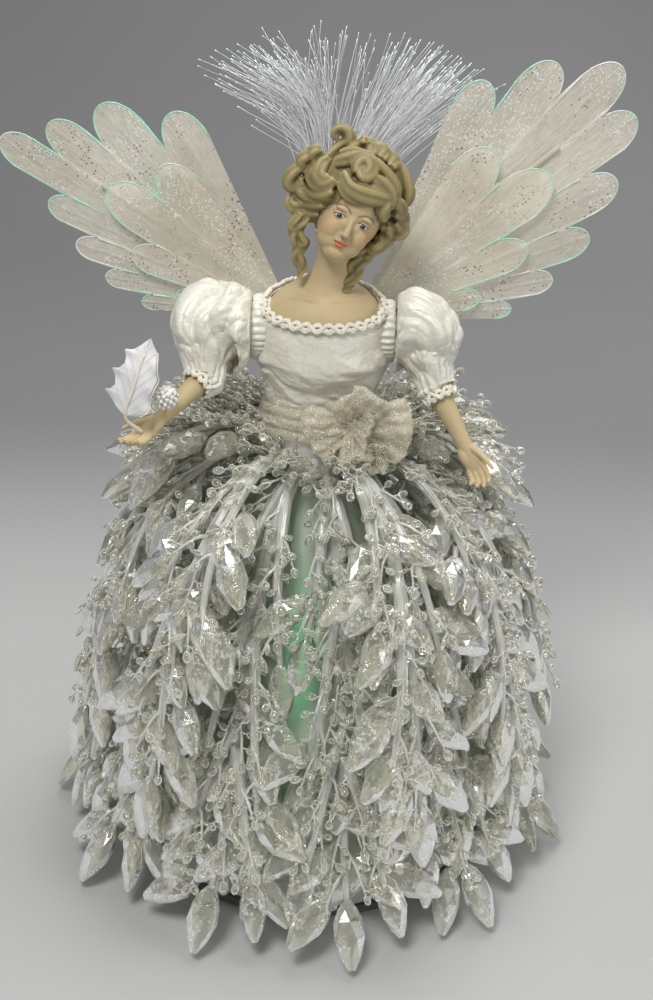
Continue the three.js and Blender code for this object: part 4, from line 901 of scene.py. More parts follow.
def build_bust():
    """Head, neck and chest, moulded in one, with the eyeballs set in their sockets."""
    skin = fused("bust_skin", skin_shells(), 0.38 * MM, 12)
    low = [v for v in skin.verts if v.co.z < (SHOULDER + 2) * MM]
    bmesh.ops.delete(skin, geom=low, context="VERTS")
    skin = repacked(skin)
    for vert in skin.verts:
        x, y, z = from_head(vert.co)
        if y < -6 and -14 < z < 14:
            side = 1 if x > 0 else -1
            socket = dent((x - side * SOCKET) / 2.9, (z - 2.7) / 1.75)
            bridge = dent(x - side * 2.6, (z - 2.6) / 2.4)
            lip_line = dent(x / 2.6, (z - MOUTH) / 0.32, 4)
            under = dent(x / 2.4, (z + 10.6) / 0.9)
            vert.co += HEAD_TURN @ mm(0, 1.15 * socket + 0.45 * bridge + 0.5 * lip_line + 0.45 * under, 0)
    for side in (-1, 1):
        egg(skin, on_head(side * SOCKET, -10.75, 2.6), mm(2.75, 2.6, 1.9), 28, 20, HEAD_TURN)
    unpainted = (60, 60)

    def on_face(point):
        x, y, z = from_head(point)
        return (x, z) if y < 2 else unpainted

    map_flat(skin.faces, skin.loops.layers.uv.new("face"), on_face)
    made = piece("bisque_bust", skin, "figure", ["painted_face"], ["bust"])


# Locks of the moulded hair, each through places on the head. From the curl on top down to the cheeks.
LOCKS = (
    ((-19.3, 0.3, 19.5), (-16.0, 7.0, 25.2), (-13.6, 7.2, 29.2), (-16.5, 7.7, 32.1), (-19.8, 7.8, 31.3),
     (-20.2, 7.6, 28.4), (-18.1, 7.4, 28.1)),
    ((-12.4, -0.8, 26.0), (-9.3, 6.8, 28.2), (-6.7, 6.7, 30.2), (-3.6, 6.4, 30.0), (-4.0, -2.6, 28.3)),
    ((-4.6, 6.6, 30.6), (-1.2, 6.3, 31.9), (1.7, 5.9, 31.3), (1.0, -0.3, 29.0)),
    ((0.4, 6.1, 30.9), (3.2, 5.8, 31.3), (6.7, 5.2, 30.2), (6.0, -0.6, 27.9)),
    ((3.2, 5.6, 29.8), (8.1, 4.9, 29.1), (12.3, 4.2, 27.3), (15.5, 3.4, 24.6), (18.5, 2.5, 21.1),
     (19.3, 1.8, 16.4)),
    ((-7.2, -12.1, 20.4), (-7.7, -9.2, 23.6), (-5.9, -7.4, 25.6), (-2.9, -8.4, 25.4),
     (-1.8, -11.2, 22.9), (-3.6, -12.9, 20.5), (-5.7, -11.6, 21.8), (-4.8, -10.7, 23.1)),
    ((-11.1, -8.1, 22.8), (-6.5, -6.2, 26.2), (-0.5, -6.6, 26.7), (5.5, -7.6, 24.9), (10.8, -7.3, 22.0),
     (12.7, -8.6, 18.1)),
    ((-0.7, -11.9, 22.1), (4.0, -11.6, 21.5), (8.8, -10.8, 19.5), (11.2, -10.8, 16.3),
     (9.8, -12.4, 13.0)),
    ((-12.0, -10.9, 18.5), (-6.8, -14.4, 15.2), (-0.4, -15.0, 15.9), (6.7, -13.0, 17.6),
     (12.0, -9.4, 17.9)),
    ((-11.8, -12.3, 15.2), (-6.8, -14.5, 12.6), (-0.8, -15.2, 12.9), (4.8, -14.2, 14.6),
     (9.3, -12.4, 15.6)),
    ((-15.4, -2.3, 23.3), (-9.9, -2.4, 26.8), (-1.5, -5.7, 27.2)),
    ((-16.1, -6.0, 19.9), (-12.6, -6.4, 23.2), (-8.4, -4.6, 26.4), (-3.5, -0.4, 28.9)),
    ((-20.8, 6.7, 19.9), (-22.9, 6.3, 16.0), (-22.1, 5.6, 11.4), (-19.7, -3.7, 9.1), (-16.2, -9.1, 9.6),
     (-14.4, -10.9, 11.9), (-13.7, -11.1, 14.8)),
    ((-18.8, -0.7, 19.9), (-19.9, -2.6, 16.0), (-19.3, -5.2, 12.4), (-16.7, -8.8, 12.2),
     (-15.9, -9.2, 14.8)),
    ((-22.6, 6.9, 20.5), (-24.4, 6.7, 18.9), (-24.4, 6.5, 16.7), (-22.2, 6.4, 16.7)),
    ((-25.3, 6.5, 17.0), (-26.8, 6.3, 14.8), (-27.0, 5.9, 12.2), (-24.8, 5.8, 12.2)),
    ((-24.8, 5.7, 11.5), (-27.5, 5.5, 9.4), (-28.8, 4.9, 6.0), (-28.5, 4.3, 2.5), (-25.9, 4.0, 1.7),
     (-24.8, 4.4, 4.0)),
    ((-12.9, -11.2, 7.3), (-17.1, -0.5, 1.7), (-22.6, 3.8, 1.1), (-27.1, 4.2, 2.5), (-29.1, 4.5, 3.7)),
    ((-12.4, -12.3, 10.6), (-15.3, -8.8, 6.4), (-19.3, 4.0, 3.5), (-23.5, 4.4, 4.3), (-25.5, 5.0, 6.9)),
    ((-12.9, -8.6, 3.2), (-17.4, 2.8, -2.0), (-21.9, 2.5, -4.9), (-24.9, 2.8, -4.2), (-25.7, 3.3, -1.8)),
    ((-12.1, -3.9, -1.0), (-15.4, 2.1, -4.6), (-18.7, 1.5, -8.4), (-19.7, 0.7, -11.7),
     (-17.4, 0.3, -12.7)),
    ((9.4, -12.0, 16.8), (9.2, -12.8, 14.1), (10.0, -12.0, 11.2), (12.6, -9.7, 9.5)),
    ((11.6, -10.1, 17.1), (15.4, -6.5, 16.1), (17.7, -3.3, 13.7), (14.9, -8.0, 12.5)),
    ((15.3, -7.5, 13.3), (19.9, 1.0, 11.7), (21.1, 0.4, 9.4), (19.0, 0.5, 7.6)),
    ((17.0, -4.3, 9.1), (21.9, 0.0, 7.6), (22.5, -0.6, 5.0), (20.4, -0.6, 3.2)),
    ((14.2, -7.6, 6.9), (18.0, -0.1, 3.5), (18.6, -1.0, -0.6), (17.0, -1.4, -3.5)),
    ((14.1, 0.0, 0.8), (16.8, -0.9, -1.5), (15.5, -1.5, -5.0), (12.6, -1.0, -5.1)),
)
RINGLETS = (
    ((-16.0, -0.8, -3.6), (-15.6, -0.4, -7.9), (-16.5, 0.2, -13.0), (-14.1, 0.3, -14.8),
     (-11.3, 0.4, -15.7), (-12.2, 0.8, -19.3), (-12.0, 1.1, -21.9), (-9.4, 1.2, -23.3),
     (-7.8, 1.5, -25.6), (-7.6, 1.8, -28.6), (-7.2, 2.1, -31.6)),
    ((-18.9, -0.7, -5.1), (-19.2, 0.0, -11.3), (-17.6, 0.5, -15.9), (-14.0, 0.8, -18.6),
     (-13.4, 1.2, -23.0), (-10.6, 1.5, -25.5), (-8.2, 1.8, -28.1)),
    ((13.2, -0.9, -3.3), (11.8, -0.4, -7.9), (10.4, 0.1, -12.5), (10.1, 0.4, -15.7), (12.1, 0.8, -18.6),
     (11.6, 1.2, -22.8), (10.1, 1.6, -26.7), (8.6, 1.8, -28.3)),
    ((16.2, -0.9, -3.3), (15.5, -0.3, -9.1), (13.7, 0.2, -13.1), (14.2, 0.6, -17.6), (14.3, 1.0, -21.4),
     (12.9, 1.5, -26.1), (11.1, 1.8, -28.6)),
)


def back_locks():
    """The locks behind the head, in rows of small curls."""
    rows = random.Random(7)
    found = []
    curl = ((-3, -2, 6), (0.5, 0, 3), (3, 1, -1), (1, 1.4, -4.5), (-1.5, 0.8, -3.5), (-0.6, 0.6, -1))
    for height, count, reach in ((27, 5, 8), (21, 8, 15.5), (13, 9, 19), (5, 9, 18.5), (-3, 8, 15)):
        for k in range(count):
            angle = math.radians(5 + 170 * (k + 0.5) / count + rows.uniform(-5, 5))
            out = Vector((math.cos(angle), math.sin(angle), 0))
            side = Vector((-out.y, out.x, 0)) * rows.choice((-1, 1))
            base = Vector((-1.2, 4, 0)) + out * reach
            found.append([base + side * a + out * b + Vector((0, 0, height + c)) for a, b, c in curl])
    return found


def add_lock(bm, places, thick, twist, strands=3):
    """A lock of hair: strands wound round one line, thickest in its middle."""
    count = max(12, 5 * len(places))
    line = smooth_path([on_head(*p) for p in places], count)
    ways = directions(line)
    swell = [0.35 + 0.65 * math.sin(math.pi * (i + 0.5) / (count + 1)) ** 0.5 for i in range(count + 1)]
    for k in range(strands):
        path = []
        for i, at in enumerate(line):
            angle = 2 * math.pi * (k / strands) + twist * i / count
            off = 0.42 * thick * swell[i] * MM
            path.append(at + ways[i][0] * (math.cos(angle) * off) + ways[i][1] * (math.sin(angle) * off))
        tube(bm, path, [0.62 * thick * s * MM for s in swell])


def build_hair():
    """The moulded hair: a cap of overlapping locks with ringlets at both sides."""
    bm = bmesh.new()
    egg(bm, on_head(-1.2, 4.2, 11.6), mm(18.6, 17.6, 16), 28, 20, HEAD_TURN)
    egg(bm, on_head(-1, 8, -2), mm(13.5, 9.5, 10), 24, 16, HEAD_TURN)
    top_curl, *others = LOCKS
    add_lock(bm, top_curl, 3.0, 1.6)
    for places in others:
        add_lock(bm, places, 3.4, 1.6)
    for places in back_locks():
        add_lock(bm, places, 3.3, 3.0)
    for places in RINGLETS:
        add_lock(bm, places, 2.4, 11, 2)
    hair = fused("hair", bm, 0.5 * MM, 4)
    made = piece("moulded_hair", hair, "figure", ["painted_hair"])


# Each arm: its side, the directions of its two halves and its palm, and the sleeve's line in armhole widths
ARMS = {
    "right": {
        "hand": -1, "upper": (-12, -9.5, -12), "fore": (-24, -26.5, -17), "palm": (-0.1, -0.35, 1), "curl": 26,
        "puff": ((0, 0, 0.05), (0.44, -0.14, 0.05), (0.8, -0.32, -0.04), (0.88, -0.54, -0.38)),
        "puff_radii": (0.65, 0.95, 0.98, 0.74),
    },
    "left": {
        "hand": 1, "upper": (11, -9.5, -8), "fore": (19, -18.5, -30.5), "palm": (-0.25, -1, 0.15), "curl": 40,
        "puff": ((0, 0, 0.09), (0.36, -0.14, 0.09), (0.6, -0.32, -0.09), (0.72, -0.5, -0.42)),
        "puff_radii": (0.65, 0.95, 0.9, 0.67),
    },
}
UPPER_ARM = 19.5


def armhole(arm):
    return mm(arm["hand"] * ARM_HOLE, 0, ARM_LINE)


def elbow(arm):
    return armhole(arm) + Vector(arm["upper"]).normalized() * UPPER_ARM * MM


def along_arm(arm, distance):
    """The point of the forearm that far beyond the elbow, in millimetres."""
    return elbow(arm) + Vector(arm["fore"]).normalized() * distance * MM


def hand_shells(arm):
    """Forearm, palm, fingers and thumb as overlapping shells."""
    bm = bmesh.new()
    start, turn, hand = elbow(arm), aimed(arm["fore"], arm["palm"]), -arm["hand"]

    def at(x, y, z):
        return start + turn @ mm(x, y, z)

    shaft = [at(0, 0, z) for z in (0, 6, 14, 22, 30, 36, 41, 46)]
    widths = [(5.2, 5.2), (5.4, 5.3), (5.2, 5.0), (4.8, 4.6), (4.1, 3.8), (3.6, 3.0), (3.5, 2.6), (3.7, 2.3)]
    tube(bm, shaft, [(a * MM, b * MM) for a, b in widths], 24, across=turn @ Vector((1, 0, 0)))
    egg(bm, at(0, 0, 47.6), mm(4.6, 2.2, 7.0), 24, 16, turn)
    egg(bm, at(-hand * 2.4, -0.9, 45.2), mm(2.4, 1.9, 4.4), 20, 14, turn)
    knuckles, joints = 51.2, 15
    thick = [1.45 - 0.5 * (i / joints) ** 1.3 + 0.1 * math.cos(6 * math.pi * i / joints) for i in range(joints + 1)]
    for k, long in enumerate((0.86, 1, 0.94, 0.76)):
        aside, reach, bend = hand * (1.5 - k) * 2.3, 12.6 * long, math.radians(arm["curl"] + 5 * k)
        spot, heading = Vector((aside, 0, knuckles)), 0.3 * bend
        path = [at(*spot)]
        for part, turn_by in ((0.4, 0.5), (0.33, 0.8), (0.27, 0.7)):
            spot = spot + Vector((0.03 * aside * part, -math.sin(heading), math.cos(heading))) * (reach * part)
            path.append(at(*spot))
            heading += turn_by * bend
        finger = smooth_path(path, joints)
        tube(bm, finger, [t * MM for t in thick], 12)
        egg(bm, finger[-1], (1.0 * MM,) * 3, 12, 8)
    thumb = [at(hand * x, -y, z) for x, y, z in ((2.2, 0.3, 43), (4.6, 1.6, 47), (6.4, 2.8, 51.2), (7.4, 3.6, 55.2))]
    tube(bm, smooth_path(thumb, 12), [t * MM for t in np.linspace(1.9, 0.85, 13)], 12)
    egg(bm, thumb[-1], (0.88 * MM,) * 3, 12, 8)
    return bm


def build_hands():
    """The two bisque forearms with their hands."""
    for name, arm in ARMS.items():
        skin = fused(name, hand_shells(arm), 0.33 * MM, 3)
        made = piece(f"{name}_bisque_hand", skin, f"{name}_arm", ["bisque"], [f"{name}_forearm"])


# ---- The crystal skirt

# Each tier: its stems' way from the waist down to their ends; drops, where they begin, and twigs, for a stem and
# for its side stems; and where each side stem leaves and arrives, how far out and to which side
TIERS = {
    "long": {
        "azimuths": (-162, -126, -90, -55, -22, 10, 42, 76, 112, 148), "rise": 4.5, "end": (110.9, 28.0),
        "reach": (0, 0.19, 0.44, 0.625, 0.785, 0.91, 1), "fall": (0, 0.05, 0.24, 0.51, 0.76, 0.93, 1),
        "growth": (16, 0.17, 19), "thick": 3.7, "side_growth": (3, 0.42, 5), "crown": 6,
        "branches": (
            (0.03, 0.4, 15, -1), (0.06, 0.46, 15, 1), (0.3, 0.74, 15, -1), (0.36, 0.82, 15, 1), (0.6, 0.93, 18, -1),
            (0.66, 0.97, 18, 1),
        ),
    },
    "middle": {
        "azimuths": (-144, -108, -72, -38, 26, 59, 94, 130), "rise": 10, "end": (112.0, 76.0),
        "reach": (0, 0.28, 0.62, 0.82, 0.94, 1), "fall": (0, 0.03, 0.23, 0.52, 0.82, 1),
        "growth": (12, 0.18, 15), "thick": 3.2, "side_growth": (3, 0.42, 4), "crown": 6,
        "branches": ((0.04, 0.52, 14, -1), (0.08, 0.6, 14, 1), (0.4, 0.88, 12, -1)),
    },
    "upper": {
        "azimuths": (-120, -78, 82, 122), "rise": 15.5, "end": (77.0, 199.0),
        "reach": (0, 0.35, 0.7, 1), "fall": (0, -0.42, -0.25, 1),
        "growth": (8, 0.16, 12), "thick": 2.2, "side_growth": (2, 0.5, 5), "crown": 9,
        "branches": ((0.1, 0.7, 12, -1), (0.14, 0.8, 12, 1)),
    },
}
# How far out from the middle the stems' roots are
ROOT = 23.65
SPRAY_FINISHES = ("crystal", "milky_stem", "crystal_bead")
CLEAR, MILKY, BEAD = range(3)

# Height and radius of each ring of a drop that is a unit long and wide
DROP_RINGS = ((0.0, 0.1), (0.12, 0.3), (0.3, 0.47), (0.54, 0.5), (0.8, 0.34), (1.0, 0.12))
DROP_SIDES = 8
DROP_DEPTH = 0.74


def stem_path(tier, azimuth, count):
    angle = math.radians(azimuth)
    top = CONE_TOP + tier["rise"]
    end_reach, end_height = tier["end"]
    places = []
    for out, down in zip(tier["reach"], tier["fall"]):
        reach, height = ROOT + (end_reach - ROOT) * out, top - (top - end_height) * down
        places.append(mm(reach * math.sin(angle), -reach * math.cos(angle), height))
    return smooth_path(places, count)


@functools.cache
def unit_drop():
    """A faceted drop of unit length and width along +Z: flat facets that cross from ring to ring."""
    last = len(DROP_RINGS) - 1
    bm = drum(DROP_SIDES, last)
    for vert in bm.verts:
        level = round(vert.co.z * last)
        height, radius = DROP_RINGS[level]
        angle = math.atan2(vert.co.y, vert.co.x) + (math.pi / DROP_SIDES) * (level % 2)
        vert.co = (radius * math.cos(angle), radius * math.sin(angle), height)
    bmesh.ops.triangulate(bm, faces=[f for f in bm.faces if len(f.verts) == 4])
    return as_mesh("drop", bm)


def add_drop(bm, end, ahead, inset, long, wide, out):
    """A drop on a stem's end, a little way over it, that lies flat with its outside to out."""
    skirt = settings().skirt
    at, turn = end - ahead * inset * MM, facing(ahead, out)
    size = Vector((wide * skirt.drop_width, DROP_DEPTH * wide * skirt.drop_width, long * skirt.drop_length))
    stamp(bm, unit_drop(), lambda co: at + turn @ (co * size), CLEAR)


@functools.cache
def swung_arms():
    """Points along each arm, at rest and swung forward, which the sprays keep clear of."""
    found = []
    for arm in ARMS.values():
        pivot = armhole(arm)
        for degrees in (0, 15, 30, 45):
            swing = Matrix.Rotation(math.radians(-degrees), 3, "X")
            found += [pivot + swing @ (along_arm(arm, d) - pivot) for d in range(12, 68, 5)]
    return np.array([tuple(p) for p in found])


def clear_of_arms(at, margin):
    """Whether a place is farther than the margin from both arms' ways."""
    return float(((swung_arms() - np.array(tuple(at))) ** 2).sum(axis=1).min()) > (margin * MM) ** 2


def in_window(at):
    """Whether a place is in the narrow opening at the front, through which the lit film shows."""
    x, y, z = at / MM
    return abs(x + 6) < 9 and y < -40 and 96 < z < 168


def add_bud(bm, at, way, size, choose):
    """A small oval bead on its short stalk. About one in seven is a long rod."""
    stalk = choose.uniform(1.7, 2.9) * MM
    long = size * choose.uniform(0.84, 1.1)
    wide, half = (0.27, 0.95) if choose.random() < 0.14 else (0.37, 0.5)
    if not clear_of_arms(at + way * stalk, 10):
        return
    tube(bm, [at, at + way * stalk], 0.42 * MM, 4, finish=MILKY)
    sizes = Vector((wide * long, wide * long, half * long))
    turn, centre = facing(way), at + way * (stalk + 0.92 * half * long)
    stamp(bm, unit_ball(9, 7), lambda co: centre + turn @ (co * sizes), BEAD)


def add_buds(bm, path, choose, step, sides=(-1, 1)):
    """A row of beads along a sprig, to the sides given by turns."""
    run, turns = 0.4 * step, 0
    for (a, b), (across, side, forward) in zip(zip(path, path[1:]), directions(path)):
        run += (b - a).length
        if run < step:
            continue
        run, turns = 0.0, turns + 1
        way = forward * 0.55 + side * sides[turns % len(sides)] + across * choose.uniform(-0.35, 0.5)
        add_bud(bm, b, way.normalized(), settings().skirt.bud_size, choose)


def add_twig(bm, at, way, along, reach, choose):
    """A thin side branch with a row of beads to one or both sides, and one at its end."""
    if not clear_of_arms(at + way * reach, 9):
        return
    twig = smooth_path([at, at + way * 0.5 * reach, at + way * 0.9 * reach + along * 0.25 * reach], 8)
    tube(bm, twig, [(0.85 - 0.05 * j) * MM for j in range(9)], 5, finish=MILKY)
    if choose.random() < 0.5:
        add_buds(bm, twig[1:], choose, 5.6 * MM, (choose.choice((-1, 1)),))
    else:
        add_buds(bm, twig[1:], choose, 3.3 * MM)
    ahead = (twig[-1] - twig[-3]).normalized()
    add_bud(bm, twig[-1], ahead, settings().skirt.bud_size * 1.1, choose)


def add_leaf_drop(bm, at, way, along, out, reach, choose, grow):
    """A faceted drop on a short ribbed stalk that bends along the stem."""
    stalk = smooth_path([at, at + way * 0.6 * reach, at + way * reach + along * 0.05 * reach], 5)
    tube(bm, stalk, [(1.25 - 0.08 * j) * MM for j in range(6)], 6, finish=MILKY)
    ahead = (stalk[-1] - stalk[-3]).normalized()
    ahead = (ahead + Vector([choose.uniform(-0.16, 0.16) for _ in range(3)])).normalized()
    grow *= choose.uniform(0.88, 1.06)
    centre = stalk[-1] + ahead * 0.55 * settings().skirt.drop_length
    if not in_window(centre) and clear_of_arms(stalk[-1], 11) and clear_of_arms(centre, 13):
        add_drop(bm, stalk[-1], ahead, 1.2, grow, grow, out)


def add_stem(bm, path, side, thick, growth, reach, choose, tip=1.0):
    """A ribbed stem with drops and beaded twigs to alternate sides, and a drop at its end."""
    count = len(path) - 1
    radii = []
    for i in range(count + 1):
        left = 1 - i / count
        radii.append(((0.95 + (thick - 0.95) * left**0.8) * MM, (0.8 + 0.4 * thick * left) * MM))
    tube(bm, path, radii, 24, side, lambda a, t: 1 + 0.3 * math.cos(8 * a), MILKY)
    ways = directions(path, side)

    def place(s, hand, splay, lean):
        """The point at a share of the stem, and the directions of a branch there, of the stem and outward."""
        i = min(count - 1, int(s * count))
        along, out = ways[i][2], ways[i][1]
        if out.dot(Vector((path[i].x, path[i].y, 0.02))) < 0:
            out = -out
        way = along + side * hand * math.tan(math.radians(splay)) + out * math.tan(math.radians(lean))
        return path[i], way.normalized(), along, out

    drops, first, twigs = growth
    for k in range(drops):
        s = first + (0.98 - first) * (k + 0.5) / drops
        splay = choose.uniform(48, 68) if s < 0.6 else choose.uniform(36, 56)
        at, way, along, out = place(s, -1 if k % 2 else 1, splay, choose.uniform(-14, 12))
        short = choose.uniform(0.3, 0.55) * reach
        add_leaf_drop(bm, at - out * 3.2 * MM, way, along, out, short, choose, 0.86 if s < 0.4 else 1.0)
    for k in range(twigs):
        s = 0.1 + 0.86 * (k + 0.3) / twigs
        splay = choose.uniform(34, 58) if s < 0.4 else choose.uniform(16, 44)
        at, way, along, out = place(s, 1 if k % 2 else -1, splay, choose.uniform(10, 36))
        add_twig(bm, at, way, along, reach * choose.uniform(0.6, 1.0), choose)
    ahead = ways[-1][2]
    if clear_of_arms(path[-1] + ahead * 0.5 * settings().skirt.drop_length, 13):
        add_drop(bm, path[-1], ahead, 1.4, 1.04 * tip, tip, ways[-1][1])


def add_spray(bm, tier, azimuth, choose):
    """One spray: a main stem, side stems that fan out from it, and short sprigs where it leaves the waist."""
    count, reach = 40, settings().skirt.sprig_length
    path = stem_path(tier, azimuth, count)
    angle = math.radians(azimuth)
    side, out = Vector((math.cos(angle), math.sin(angle), 0)), Vector((math.sin(angle), -math.cos(angle), 0))
    add_stem(bm, path, side, tier["thick"], tier["growth"], reach, choose)
    for leave, arrive, spread, hand in tier["branches"]:
        branch = []
        for t in np.linspace(0, 1, 9):
            s = (leave + (arrive - leave) * t) * count
            i = min(count - 1, int(s))
            on = path[i].lerp(path[i + 1], s - i)
            branch.append(on + side * (hand * spread * t**0.85 * MM) + out * (3.5 * math.sin(math.pi * t) * MM))
        branch = smooth_path(branch, 20)
        add_stem(bm, branch, side, 0.62 * tier["thick"], tier["side_growth"], 0.62 * reach, choose, 0.86)
    for k in range(tier["crown"]):
        hand = k - (tier["crown"] - 1) / 2
        way = (0.6 * out + side * hand * choose.uniform(0.25, 0.6) + UP * choose.uniform(0.1, 1.5)).normalized()
        add_twig(bm, path[1] + side * hand * 1.2 * MM, way, out, choose.uniform(10, 17) * MM, choose)


def build_sprays():
    """The moulded sprays of the skirt, in three tiers round the waist."""
    for kind, tier in TIERS.items():
        for k, azimuth in enumerate(tier["azimuths"], 1):
            bm = bmesh.new()
            add_spray(bm, tier, azimuth, random.Random(100 * len(kind) + k))
            name, node = f"{kind}_crystal_spray_{k}", f"{kind}_spray_{k}"
            made = piece(name, bm, "figure", SPRAY_FINISHES, [node], faceted=(CLEAR,))


# The lit former under the film: its foot, its height, and its radii at the top and beyond that at the foot
FORMER_FOOT, FORMER_HEIGHT, FORMER_TOP, FORMER_FLARE = 4.3, 190, 21, 65
FILM_FOOT, FILM_HEIGHT, FILM_GAP = 21, 170, 2.6


def build_overskirt():
    """The gathered film over the lit former, a plain cloth cone with soft folds."""
    bm = bmesh.new()
    rings = 46
    heights = [FILM_FOOT + FILM_HEIGHT * i / rings for i in range(rings + 1)]
    rises = [(z - FORMER_FOOT) / FORMER_HEIGHT for z in heights]
    radii = [FORMER_TOP + FORMER_FLARE * (1 - rise**1.6) + FILM_GAP for rise in rises]

    def wave(a, t):
        deep = 2.6 * (1 - 0.72 * t)
        soft = deep * (1 + math.cos(10 * a + 0.25 * math.sin(3 * a + 4 * t)))
        fine = 0.45 * math.cos(31 * a + 1.4 * math.sin(3 * a)) * (1 - 0.4 * t)
        return 1 + (soft + fine) / radii[round(t * rings)]

    path = [mm(0, 0, z) for z in heights]
    tube(bm, path, [r * MM for r in radii], 240, Vector((1, 0, 0)), wave, closed=False)
    made = piece("overskirt_film", bm, "figure", ["lit_skirt"], ["overskirt"])
    thicken(made, 0.35, -1)


# ---- The dress

# Height and half sizes of the bodice from the waist up
BODICE_LEVELS = ((216.0, 22.6, 18.6), (225, 23.2, 18.8), (235, 26.7, 22.2), (245, 30.3, 25.6), (252, 30.7, 24.6))
BODICE_FOOT = 216
YOKE = (30.3, 25.6, 245)
YOKE_SHARE = 0.55
# The neck's opening: its half sizes, and its middle's place to the back
NECK_OPENING = (25, 18, -5)


def bodice_point(around, up):
    """A place on the bodice: up to the yoke by its levels, then in over the shoulders to the neck opening."""
    angle = 2 * math.pi * around
    sin, cos = math.sin(angle), -math.cos(angle)
    yoke_x, yoke_y, yoke_z = YOKE
    fold = math.cos(9 * angle + 1.5 * math.sin(angle)) + 0.5 * math.cos(17 * angle + 2)
    if up < YOKE_SHARE:
        z = BODICE_FOOT + (yoke_z - BODICE_FOOT) * up / YOKE_SHARE
        heights, wide, deep = zip(*BODICE_LEVELS)
        tight = 1 - abs(2 * up / YOKE_SHARE - 1) * 0.3
        out = 0.3 * fold * tight * (0.5 + 0.5 * math.cos(math.pi * up / 0.9))
        out += 1.9 * crumple(Vector((sin * 1.3, cos * 1.7, z * 0.16 + 0.9 * sin)))
        return mm((np.interp(z, heights, wide) + out) * sin, (np.interp(z, heights, deep) + out) * cos, z)
    t = (up - YOKE_SHARE) / (1 - YOKE_SHARE)
    half_x, half_y, set_y = NECK_OPENING
    ease = t * t * (3 - 2 * t) * 0.5 + t * 0.5
    x = yoke_x * sin * (1 - ease) + half_x * sin * ease
    y = yoke_y * cos * (1 - ease) + (half_y * cos + set_y) * ease
    behind = min(1, max(0, cos + 0.3))
    on_dome = chest(x, y, 1.4 - 0.8 * behind)
    z = yoke_z + (max(on_dome.z / MM, yoke_z) - yoke_z) * min(1, t * 3)
    crease = crumple(Vector((sin * 1.3, cos * 1.7, 39.2 + 2.2 * t + 0.9 * sin)))
    crease = max(0, crease + 0.1) * (1 - t) * (1 - 0.8 * behind)
    return mm(x * (1 + 0.07 * crease), y * (1 + 0.07 * crease), z + 0.3 * fold * (1 - t) * t + 2.2 * crease * t)


def build_bodice():
    """The satin bodice, open at the neck and the arms."""
    bm = grid_piece(200, 64, bodice_point, wrap=True)

    def in_armhole(face):
        x, y, z = face.calc_center_median() / MM
        return abs(x) > 15 and math.hypot(y, z - ARM_LINE) < 6.6

    bmesh.ops.delete(bm, geom=[f for f in bm.faces if in_armhole(f)], context="FACES")
    bm = repacked(bm)

    def gather(a, t):
        return 1 + 0.035 * math.cos(29 * a + 2.2 * math.sin(3 * a)) * math.sin(math.pi * t) ** 0.5

    for hand in (-1, 1):
        rim = [mm(hand * x, 0, ARM_LINE) for x in (22, 25, 28, 30, 31.2, 31.5, 31.2)]
        radii = taper(12, np.linspace(0, 1, 7), (12.5, 13.0, 13.5, 13.7, 13.7, 12.9, 9.0))
        tube(bm, smooth_path(rim[:5], 10) + rim[5:], radii, 174, UP, gather, closed=False)
    made = piece("satin_bodice", bm, "figure", ["satin"], ["bodice"])
    thicken(made, 0.6, -1)


def sleeve_radii(arm, rings):
    """Radii along a sleeve in millimetres: small at the armhole, full, and small again at the cuff."""
    radii = [20 * r for r in arm["puff_radii"]] + [9.0, 7.2]
    smooth = np.interp(np.linspace(0, 1, rings + 1), np.linspace(0, 1, len(radii)), radii)
    smooth = np.convolve(np.pad(smooth, 4, mode="edge"), np.ones(9) / 9, mode="valid")
    smooth[:13] = np.minimum(smooth[:13], 12.6 + 5 * np.sqrt(np.arange(13) / 12))
    smooth[-5:] = (8.6, 7.8, 7.0, 6.4, 6.1)
    return smooth


def build_sleeves():
    """The puffed satin sleeves, gathered at the armhole and the cuff."""
    rings, hole, gap = 84, 6 * MM, 0.9
    depth = settings().dress.fold_depth
    for name, arm in ARMS.items():
        hand, top = arm["hand"], armhole(arm)
        places = [top + Vector((hand * x, y, z)) * 22 * MM for x, y, z in arm["puff"]]
        line = smooth_path([*places, along_arm(arm, 12), along_arm(arm, 15)], rings)
        seed = Vector((0, 0, 11.0 * len(name)))

        def wave(a, t):
            gathers = 0.35 * math.exp(-((t / 0.2) ** 2)) + 0.45 * math.exp(-(((1 - t) / 0.2) ** 2))
            gathers *= math.cos(17 * a + 1.6 * math.sin(3 * a))
            folds = crumple(Vector((1.35 * math.cos(a), 1.35 * math.sin(a), 3.3 * t)) + seed)
            lean = crumple(Vector((0.9 * math.cos(a + 2.2 * t), 0.9 * math.sin(a + 2.2 * t), 1.5 * t)) - seed, 0.4)
            return 1 + depth * (gathers + (1.3 * folds + 1.5 * lean) * (0.25 + 0.75 * math.sin(math.pi * t)))

        bm = bmesh.new()
        tube(bm, line, [r * MM for r in sleeve_radii(arm, rings)], 210, UP, wave, closed=False)
        # the sleeve's top is pressed flat beside the bodice, and kept open for the arm's wire
        plane = hand * (ARM_HOLE + gap) * MM
        for vert in bm.verts:
            if (vert.co.x - plane) * hand < 0:
                vert.co.x = plane + (vert.co.x - plane) * 0.02
            lift = vert.co - top
            if abs(vert.co.x - plane) < 0.4 * MM and lift.length < hole:
                vert.co += lift.normalized() * (hole - lift.length)
        made = piece(f"{name}_puffed_sleeve", bm, f"{name}_arm", ["satin"], [f"{name}_sleeve"])
        thicken(made, 0.5, -1)


